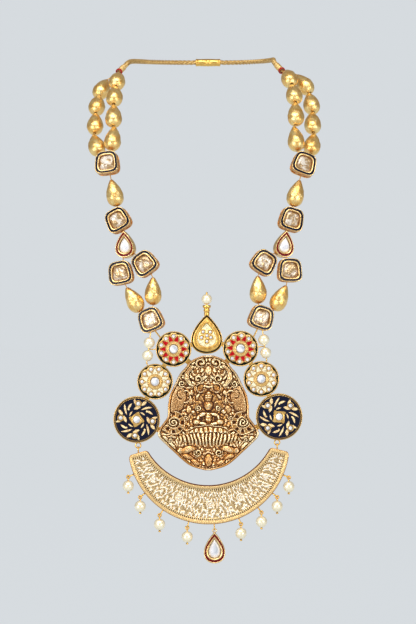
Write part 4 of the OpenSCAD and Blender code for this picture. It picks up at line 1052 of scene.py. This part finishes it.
def foliage(ax, down):
    """The plate's ground: small pointed leaves in staggered rows, each one turned and moved a
    little by chance and by a slow swirl, with a groove along its middle."""
    chance = np.random.default_rng(8)
    h = 0.3 * np.abs(ripples(ax, down, 2.0, 5))
    for k, (i, j) in enumerate(np.ndindex(13, 30)):
        cx = (i + 0.5 * (j % 2)) * 2.2 + chance.uniform(-0.5, 0.5)
        cy = j * 2.15 + chance.uniform(-0.5, 0.5)
        lie = 90 * np.sin(0.35 * cx) + 70 * np.sin(0.24 * cy + 0.3 * cx) + chance.uniform(-25, 25)
        near = (np.abs(ax - cx) < 2.4) & (np.abs(down - cy) < 2.4)
        c, s = np.cos(np.radians(lie)), np.sin(np.radians(lie))
        u, v = ax[near] - cx, down[near] - cy
        u, v = (u * c + v * s) / chance.uniform(1.5, 2.2), (v * c - u * s) / 0.85
        v = v + 0.35 * u * u
        q = u * u + np.abs(v) ** 1.6
        leaf = chance.uniform(0.9, 1.5) * np.sqrt(np.clip(1 - q, 0, 1)) - 0.2 * ridge(v, 0.16)
        h[near] = np.where(leaf > h[near], leaf, h[near] - 0.5 * ridge(np.sqrt(q) - 1.08, 0.08))
    return np.maximum(h, 0)


def lotus_relief(ax, down):
    """The seat: a curved ledge, a tier of short petals and a bowl of ribs that fan outwards,
    with the places that it covers."""
    ledge = 38.1 + 0.022 * ax ** 2
    tier = (down > ledge) & (down < 42.6) & (ax < 12)
    tips = np.abs(np.sin(np.pi * ax / 2.7))
    h = 1.0 + 1.1 * tips ** 0.6 * smooth(down - ledge, 0.4, 1.6)
    h = np.where(down > 41.4 + 0.9 * tips, 0.4 + 1.2 * (1 - tips), h)
    h = np.maximum(h, 2.4 * ridge(down - ledge - 0.1, 0.45))
    ribs = np.abs(np.sin(np.pi * ax * (1 + 0.028 * (down - 44)) / 2.1)) ** 0.7
    top_line, low_line = 42.4 + 0.006 * ax ** 2, 50.1 - 0.011 * ax ** 2 - 0.7 * (1 - ribs)
    share = np.clip((down - top_line) / (low_line - top_line), 0, 1)
    bowl = (down > top_line) & (down < low_line) & (ax < 17.2)
    swell = np.clip(1 - np.abs(1.7 * share - 0.75) ** 2.6, 0.05, 1)
    h = np.where(bowl, 0.3 + 1.9 * ribs * swell, h)
    return np.where(tier | bowl, h, 0), tier | bowl


def plate_relief(x, down):
    """The highest of the plate's raised forms at each point, in mm above its ground. All are
    drawn through a soft warp, and a dark moat is left round each in the foliage."""
    x = x + 0.22 * ripples(x, down, 5.0, 11)
    down = down + 0.22 * ripples(x, down, 5.0, 12)
    ax = np.abs(x)
    niche = smooth(11.5 - ax, 0, 3) * smooth(down, 19, 22) * smooth(38 - down, 0, 2)
    h = foliage(ax, down) * (1 - 0.45 * niche)
    moat, raised = np.full_like(h, 9.0), np.zeros_like(h)
    for form in crest_forms + figure_forms + foot_forms:
        q = away_from(ax, down, form)
        moat = np.minimum(moat, (q - 1) * min(form[2], form[3]))
        carved = 1 if form in figure_forms else 0.8 + 0.2 * np.abs(np.sin(
            5.2 * q * form[3] + 2 * np.arctan2(down - form[1], ax - form[0])))
        raised = np.maximum(raised, form[4] * np.sqrt(np.clip(1 - q * q, 0, 1)) * carved)
    h = np.maximum(h * smooth(moat, 0.0, 0.5), raised)
    for leaf in ((6.4, 11.3, 5.5, -80, 78, 1.5, 2.2), (0, 16.2, 4.6, -84, -30, 0.9, 1.7)):
        sweep = swept_leaf(ax, down, *leaf)
        near = swept_leaf(ax, down, *leaf[:5], leaf[5] + 0.45, 1)
        h = np.where(near > 0, sweep, h)
    body = away_from(ax, down, elephant)
    stipple = np.abs(np.sin(3.9 * ax + 1.6 * np.sin(1.3 * down)) * np.sin(4.1 * down + ax))
    trunk = ridge(np.hypot(ax - 12.4, (down - 22.5) * 0.8) - 2.6, 0.45) * (ax < 13.6)
    h = np.where(body < 1, 1.5 * np.clip(1 - body ** 3, 0, 1) ** 0.5 + 0.45 * stipple, h)
    h = h * (1 - 0.8 * ridge(body - 1.03, 0.05))
    ear = np.hypot((ax - 15.2) / 0.8, down - 21.2)
    h = np.where(body < 1, h * (1 - 0.5 * ridge(ear - 2.3, 0.25) * (ax > 14.4)), h)
    h = np.maximum(h, 1.7 * trunk)
    for form in plate_curls:
        swirl = curl(ax, down, *form)
        within = np.hypot(ax - form[0], down - form[1]) < form[2]
        h = np.where(within, swirl, h)
    hooks = np.hypot(ax - 4.5, down - 17.7)
    h = np.where(hooks < 2.1, 0.5 * h, h)
    h = np.maximum(h, 1.9 * ridge(hooks - 2.3, 0.4) * ((down > 16.9) | (ax > 4.5)))
    scroll, spin = np.hypot(ax - 19.0, down - 36.9), np.arctan2(down - 36.9, 19.0 - ax)
    band = (scroll > 3.2) & (scroll < 5.7) & ((ax < 19.5) | (down > 38))
    holes = smooth(np.cos(8 * spin), 0.0, 0.5) * ridge(scroll - 4.7, 0.75)
    h = np.where(band, 1.3 - 1.5 * holes, h)
    h = np.maximum(h, 2.0 * ridge(scroll - 6.1, 0.42) * ((ax < 18.5) | (down > 38)))
    h = np.maximum(h, 1.7 * ridge(scroll - 3.3, 0.32) * ((ax < 19.5) | (down > 37)))
    seat, covered = lotus_relief(ax, down)
    h = np.where(covered, np.maximum(seat, raised * (down < 39)), h)
    for cx, cy, size in ((0, 0.9, 0.8), (14.2, 15.4, 0.7), (3.4, 35.2, 0.9), (0, 12.6, 0.7),
                         (5.9, 53.3, 0.7), (8.6, 2.4, 0.7), (7.3, 9.2, 1.2), (2.7, 17.6, 0.8),
                         (1.8, 5.9, 0.7), (12.3, 16.9, 0.9)):
        h = h * smooth(np.hypot(ax - cx, down - cy), 0.5 * size, size)
    crown = away_from(ax, down, figure_forms[1]) < 1
    h = h + np.where(crown, 0.2 * np.sin(4.4 * down) + 0.1 * np.sin(5 * ax), 0)
    face = (0.4 * ridge(x, 0.3) * ridge(down - 27.6, 0.9)
            + 0.16 * ridge(np.hypot((ax - 1.0) / 1.6, down - 27.0), 0.4)
            + 0.16 * ridge(np.hypot(x / 1.9, down - 29.2), 0.3)
            - 0.2 * ridge(np.hypot((ax - 1.0) / 2.0, down - 26.3), 0.25))
    h = h + face * (away_from(ax, down, figure_forms[0]) < 1)
    chin = np.hypot(x, down - 27.2)
    h = h * (1 - 0.9 * ridge(chin - 3.3, 0.35) * (down > 25.5))
    robe = away_from(ax, down, figure_forms[2]) < 1
    h = h + np.where(robe, 0.16 * np.sin(3.4 * np.hypot(x, down - 29.5)), 0)
    notch = np.abs(down - 61.3 + ax * 0.33)
    return np.where((ax < 4.2) & (notch < 0.35), 0.0, h)


antique = Finish("antique_cast_gold", "antique_gold", Metallic=1.0)
grain = antique.noise(1500.0, 4.0)
low_place, high_place = antique.value("recess"), antique.value("crest")
tone = antique.mix(grain, (188, 122, 56), (232, 178, 104))
tone = antique.mix(high_place, tone, (255, 236, 192))
tone = antique.mix(low_place, tone, (74, 34, 6))
antique.feed("Base Color", tone)
antique.feed("Metallic", 1 - low_place * 0.75)
antique.feed("Roughness", grain * 0.2 + 0.16 + low_place * 0.4)
antique.bump(grain, 0.00014, 0.7)

rows, columns = 316, 250
down = np.linspace(0, plate_height, rows)[:, None] * np.ones(columns)
half = np.interp(down[:, 0], plate_outline[:, 0], plate_outline[:, 1])
for _ in range(2):
    half = np.convolve(np.pad(half, 4, "reflect", reflect_type="odd"), np.ones(9) / 9, "valid")
half = half[:, None]
slant = np.sqrt(1 + np.gradient(half[:, 0], down[:, 0])[:, None] ** 2)
x = half * np.linspace(-1, 1, columns)
edge = np.minimum((half - np.abs(x)) / slant, np.minimum(down, plate_height - down) + 0.1)
height = plate_relief(x, down) * smooth(edge, 1.2, 1.6)
height = height - 0.25 * ridge(edge - 1.4, 0.2)
rim = 1.0 - 0.35 * smooth(0.3 - edge, 0, 0.3) - 0.25 * smooth(edge, 0.7, 1.1)
height = np.where(edge < 1.1, rim, height)


def blurred(field, rounds):
    """A height field averaged with its four neighbours again and again."""
    for _ in range(rounds):
        padded = np.pad(field, 1, mode="edge")
        field = (padded[1:-1, 1:-1] * 2 + padded[:-2, 1:-1] + padded[2:, 1:-1]
                 + padded[1:-1, :-2] + padded[1:-1, 2:]) / 6
    return field


hollow = 0.6 * (blurred(height, 8) - height) + 0.7 * (blurred(height, 50) - height)
front = np.stack([x, -down, plate_back + plate_thick + height], axis=-1)
back = np.stack([np.stack([s * half[:, 0], -down[:, 0], np.full(rows, plate_back)], axis=-1)
                 for s in (0.98, 0.94, 0.3, -0.3, -0.94, -0.98)], axis=1)
behind = ((0, 0), (0, back.shape[1]))
niche = smooth(12 - np.abs(x), 0, 3) * smooth(down, 18, 22) * smooth(38 - down, 0, 2)
flank = away_from(np.abs(x), down, elephant) < 1
# The dark value is patina in the hollows and in the groove inside the rim, with painted shade
# over the deep niche round the figure, and darker over the elephants' bodies.
patina_and_shade = smooth(hollow + 0.16 * niche + 0.16 * flank, 0.02, 0.36) * (edge > 1.1)
patina_and_shade = patina_and_shade + 0.9 * (edge > 1.1) * (edge < 1.45)
# Crest is polish on the high places, with a painted highlight over the top and the lotus bowl.
painted_highlight_zone = smooth(19 - down, 0, 4) + smooth(down, 41, 43) * smooth(51 - down, 0, 2)
plate = Piece("temple_plate", antique)
plate.wrap(on_front(np.concatenate([front, back], axis=1), plate_x, plate_top),
           recess=np.pad(patina_and_shade.clip(0, 1), behind),
           crest=np.pad(smooth(-hollow - 0.08 + 0.16 * painted_highlight_zone, 0.02, 0.4), behind))
plate.put()


# The crescent. A sheet gold crescent hangs on two loops; its rounded rim is brushed and stands
# round a sunk field of bright chased scrolls, edged by two rows of punched slots.

hinge_middle = (np.array(hinge_ends[0]) + np.array(hinge_ends[1])) / 2
hinge_span = np.array(hinge_ends[1]) - np.array(hinge_ends[0])
hinge_tilt = np.arctan2(hinge_span[1], hinge_span[0])
hinge_half = np.linalg.norm(hinge_span) / 2
outer_centre, outer_radius = np.array([0.6, 1.9]), 44.6
inner_centre, inner_radius = np.array([0.6, 17.2]), 38.5
end_in, end_out = np.array([33.8, -1.3]), np.array([43.4, -3.9])
crescent_thick, crescent_forward, rim_out, rim_in = 2.6, 0.286, 42.0, 40.6


def on_crescent(points):
    """Points in the crescent's own frame, turned to its tilt at the middle of its hinge line."""
    return on_front(turned(points, hinge_tilt), *hinge_middle)


def meets(centre, radius):
    """Where the line of an end cuts an arc, on the right hand side, in the crescent's frame."""
    d = unit(end_out - end_in)
    start = end_in + [outer_centre[0], 0] - centre
    along_line = -start @ d + np.sqrt((start @ d) ** 2 - start @ start + radius ** 2)
    return start + d * along_line


corner_out, corner_in = meets(outer_centre, outer_radius), meets(inner_centre, inner_radius)
span_out = np.arctan2(corner_out[0], -corner_out[1])
span_in = np.arctan2(corner_in[0], -corner_in[1])
steps, lanes = 640, 104
corner = 2.2
v = np.linspace(-1, 1, steps)[:, None]
v = 1.08 * v - 0.08 * v ** 13
to_end = (1 - np.abs(v)) * (outer_radius * span_out + inner_radius * span_in) / 2
drawn_in = corner - np.sqrt(corner ** 2 - (corner - np.minimum(to_end, corner)) ** 2)
drawn_in = drawn_in / np.linalg.norm(corner_out - corner_in)
u = drawn_in + (1 - 2 * drawn_in) * np.linspace(0, 1, lanes)[None, :]
arc_out = outer_centre + outer_radius * np.stack([np.sin(v * span_out), -np.cos(v * span_out)], -1)
arc_in = inner_centre + inner_radius * np.stack([np.sin(v * span_in), -np.cos(v * span_in)], -1)
flat = arc_out * (1 - u[..., None]) + arc_in * u[..., None]
from_out = outer_radius - np.linalg.norm(flat - outer_centre, axis=-1)
from_in = np.linalg.norm(flat - inner_centre, axis=-1) - inner_radius
line_side = np.array([-(end_out - end_in)[1], (end_out - end_in)[0]])
line_side = line_side / np.linalg.norm(line_side)
mirrored = np.stack([np.abs(flat[..., 0] - outer_centre[0]), flat[..., 1]], axis=-1)
from_end = -((mirrored - end_in) @ line_side)


def rounded(a, b):
    """The distance in from two edges that meet in a round corner."""
    both = (a < corner) & (b < corner)
    return np.where(both, corner - np.hypot(corner - a, corner - b), np.minimum(a, b))


inset = np.minimum(rounded(from_out, from_end), rounded(from_in, from_end))
round_way = np.arctan2(flat[..., 0] - outer_centre[0], outer_centre[1] - flat[..., 1])
bar = np.sqrt(np.clip(1 - ((inset - 0.9) / 1.02) ** 2, 0, 1))
inner_way = np.arctan2(flat[..., 0] - inner_centre[0], inner_centre[1] - flat[..., 1])
way = np.where((from_out <= from_in) & (from_out <= from_end), round_way * rim_out,
               np.where(from_in <= from_end, inner_way * rim_in, from_out))
fringe = smooth(inset, 1.8, 1.95) * smooth(3.4 - inset, 0, 0.5)
# A dark red line along the inner edge, and painted shade along the outer edge.
inner_line_and_outer_shade = np.maximum(smooth(0.52 - from_in, 0, 0.12), 0.5 * smooth(0.4 - from_out, 0, 0.2))


def chased_strokes(x, y, seed):
    """The chasing of the field: bent bright strokes in staggered rows, each leaning a little by
    chance from the way across the band and swelling to a drop at one end."""
    chance = np.random.default_rng(seed)
    raised = np.zeros_like(x)
    for i, j in np.ndindex(62, 6):
        cx = (i - 31 + 0.5 * (j % 2)) * 1.9 + chance.uniform(-0.5, 0.5)
        cy = 3.6 + j * 3.0 + chance.uniform(-0.7, 0.7)
        lie = np.radians(90 + chance.uniform(-38, 38))
        half, bend = chance.uniform(0.9, 1.9), chance.uniform(-0.9, 0.9)
        near = (np.abs(x - cx) < 2.8) & (np.abs(y - cy) < 2.8)
        c, s = np.cos(lie), np.sin(lie)
        u, v = x[near] - cx, y[near] - cy
        u, v = (u * c + v * s) / half, v * c - u * s
        v = v - bend * (1 - u * u) * 0.5
        line = smooth(0.42 * np.sqrt(np.clip(1 - u * u, 0, 1)) - np.abs(v), -0.05, 0.25)
        drop = smooth(0.72 - np.hypot((u - 0.75) * half, v), -0.05, 0.25)
        raised[near] = np.maximum(raised[near], np.maximum(line, drop))
    return raised


field = smooth(inset, 2.9, 3.2)
cords = chased_strokes(round_way * 38, from_out, 21)
flowers, petals_in = np.zeros_like(cords), np.zeros_like(cords)
for k in range(0, 17, 4):
    d = ray(np.radians(270 + (k - 8) * 7.3))
    rise = inner_centre[1] - outer_centre[1]
    reach = rise * d[1] + np.sqrt(inner_radius ** 2 - (rise * d[0]) ** 2)
    c = outer_centre + d * (outer_radius + reach) / 2
    size = 1.4 if abs(k - 8) > 5 else 2.1
    away = np.hypot(flat[..., 0] - c[0], flat[..., 1] - c[1])
    spin = np.arctan2(flat[..., 1] - c[1], flat[..., 0] - c[0])
    flowers = np.maximum(flowers, ridge(away - size + 0.35, 0.34))
    blossom = smooth(size * 0.62 * (0.72 + 0.28 * np.cos(5 * spin + k)) - away, -0.1, 0.25)
    petals_in = np.maximum(petals_in, blossom * smooth(away, 0.15, 0.35))
    cords = cords * (1 - smooth(size + 0.25 - away, 0, 0.3))
raised = np.maximum(np.maximum(cords, flowers), petals_in) * field
height = np.where(inset < 1.88, -0.55 + 0.55 * bar, -0.8)
height = height + 0.35 * fringe + 0.5 * raised

bright = Finish("bright_chased_gold", "crescent_gold", Specular_IOR_Level=0.1)
grain = bright.noise(1700.0, 3.0)
way_in, lane_in, field_in, dark_in, crest_in = [
    bright.value(name) for name in ("way", "lane", "field", "recess", "crest")]
stroke_at = bright.node("CombineXYZ", {0: way_in, 1: lane_in, 2: 0.0})
strokes = bright.noise(1.0, 3.0, bright.node("VectorMath", {0: stroke_at, 1: (0.9, 5.0, 1.0)},
                                             operation="MULTIPLY"))
rib = bright.node("Math", {0: way_in * 6.6}, operation="SINE")
# A painted highlight along the middle of the rim's rounded bar, with painted shade at its flanks.
crown = bright.step(lane_in, 0.0, 0.7) * bright.step(lane_in, 1.95, 1.4)
rim_tone = bright.mix(strokes * 0.35 + rib * 0.2 + crown * 0.55, (184, 126, 58), (252, 222, 160))
ground_tone = bright.mix(bright.step(grain, 0.38, 0.56), (164, 128, 80), (234, 204, 152))
tone = bright.mix(field_in, rim_tone, ground_tone)
tone = bright.mix(crest_in, tone, (252, 246, 230))
# The punched slots of the fringe are painted dark brown, a painted shade.
slot_shade = bright.node("Math", {0: way_in * 5.6}, operation="SINE")
# The fringe band is painted lighter, a painted light against the shade that the rim casts on it.
fringe_at = bright.value("fringe") * bright.step(lane_in, 1.95, 2.2)
tone = bright.mix(fringe_at, tone, (255, 232, 176))
slot_shade = bright.step(slot_shade, -0.3, 0.4) * fringe_at
tone = bright.mix(slot_shade, tone, (104, 48, 8))
# Dark red along the inner edge, and painted shade along the outer edge.
tone = bright.mix(dark_in, tone, (76, 18, 12))
bright.feed("Base Color", tone)
bright.feed("Metallic", (1 - dark_in) * (1 - crest_in * 0.3) * (field_in * 0.25 + 0.65))
bright.feed("Roughness", grain * 0.15 + 0.24 + dark_in * 0.4)
bright.bump(strokes * (1 - field_in) + grain * 0.25 - slot_shade, 0.0003, 0.5)

front_z = crescent_thick / 2 + crescent_forward
top = np.concatenate([flat, (front_z + height)[..., None]], axis=-1)
low_z = crescent_forward - crescent_thick / 2
lower = [np.concatenate([(flat[:, :1] * (1 - s) + flat[:, -1:] * s),
                         np.full((steps, 1, 1), z)], axis=-1)
         for s, z in ((1.0, low_z + 0.2), (0.99, low_z), (0.96, low_z), (0.04, low_z),
                      (0.01, low_z), (0.0, low_z + 0.2))]
behind = ((0, 0), (0, len(lower)))
crescent = Piece("crescent", bright, "crescent")
crescent.wrap(on_crescent(np.concatenate([top] + lower, axis=1)),
              recess=np.pad(inner_line_and_outer_shade, behind), fringe=np.pad(fringe, behind),
              crest=np.pad(raised, behind), field=np.pad(smooth(inset, 1.75, 1.9), behind),
              way=np.append(way, np.repeat(round_way[:, :1] * rim_out, len(lower), axis=1), axis=1),
              lane=np.pad(inset, behind, constant_values=1))
crescent.put()

pearl_angles = [201.5, 217, 234.5, 254.5, 290.5, 306, 320.5, 335.5]
drop_angle, eyelet_at, eyelet_radius = 272.6, 46.2, 1.75
loops = Piece("crescent_loops", plain_gold, "crescent", instead="crescent")
edge_on = np.array([[0, 0, 1], [0, 1, 0], [-1, 0, 0]])
for sign in (-1, 1):
    ring = hoop(1.6, 0.35) @ edge_on.T + [sign * hinge_half, -0.88, 0]
    loops.wrap(on_crescent(ring), round_trip=True)
for a in np.radians(pearl_angles + [drop_angle]):
    ring = turned(hoop(eyelet_radius, 0.34)[..., [0, 2, 1]] * [1, -1, 1], a)
    loops.wrap(on_crescent(ring + [*(outer_centre + eyelet_at * ray(a)), 0]), round_trip=True)
loops.put(angle=40)


# The hanging pearls. Each is threaded on a gold pin with a turned eye, which is looped through an
# eyelet on the crescent's edge.

def hanging(degrees):
    """The far wire of an eyelet after the crescent's tilt, on the front."""
    p = outer_centre + (eyelet_at + eyelet_radius) * ray(np.radians(degrees))
    return hinge_middle + turned(p, hinge_tilt)


pins = Piece("crescent_pins", plain_gold, "crescent")
hung = Piece("crescent_pearls", nacre, "crescent")
pin = [(0.1, -9.3), (0.5, -9.2), (0.72, -8.95), (0.72, -8.65), (0.5, -8.35), (0.25, -8.2),
       (0.25, -1.9), (0.42, -1.75), (0.42, -1.3), (0.3, -0.9)]
for k, degrees in enumerate(pearl_angles):
    x, z = hanging(degrees) - [0, 0.1]
    pins.wrap(on_front(hoop(0.86, 0.36, 36), x, z), round_trip=True)
    pins.wrap(around(pin, spot(x, z), (0, 0, 1), 20))
    pearl(hung, spot(x, z - 5.05), 3.18, (0, 0, 1), 30 + k)
pins.put(angle=40)
hung.put()


# The hanging drop. A teardrop setting on a plain loop, with a red enamel line and a clear stone.

x, z = hanging(drop_angle) - [0, 0.31]
middle_z = z - 9.35
drop = Piece("drop_setting", red_line_gilt, "drop")
tear_setting(drop, (x, middle_z, 0, 0, 0, 0), 11.8, 17, 4.2, (6.8, 10.9))
drop.wrap(on_front(hoop(1.0, 0.3, 40), x, z), round_trip=True)
drop.put(angle=45)
stone = Piece("drop_stone", clear_stone, "drop")
points, faces = cut_stone(pear(6.5, 10.4, 16) + [0, -0.34], 1.9, 0.45)
points[:, 2] += 0.02
# A painted shade on the table, darker towards its right.
stone.add(on_front(points, x, middle_z), faces,
          table=on_table(points) * np.clip(1.6 + 1.2 * points[:, 0], 0, 3))
stone.put(smooth=False)
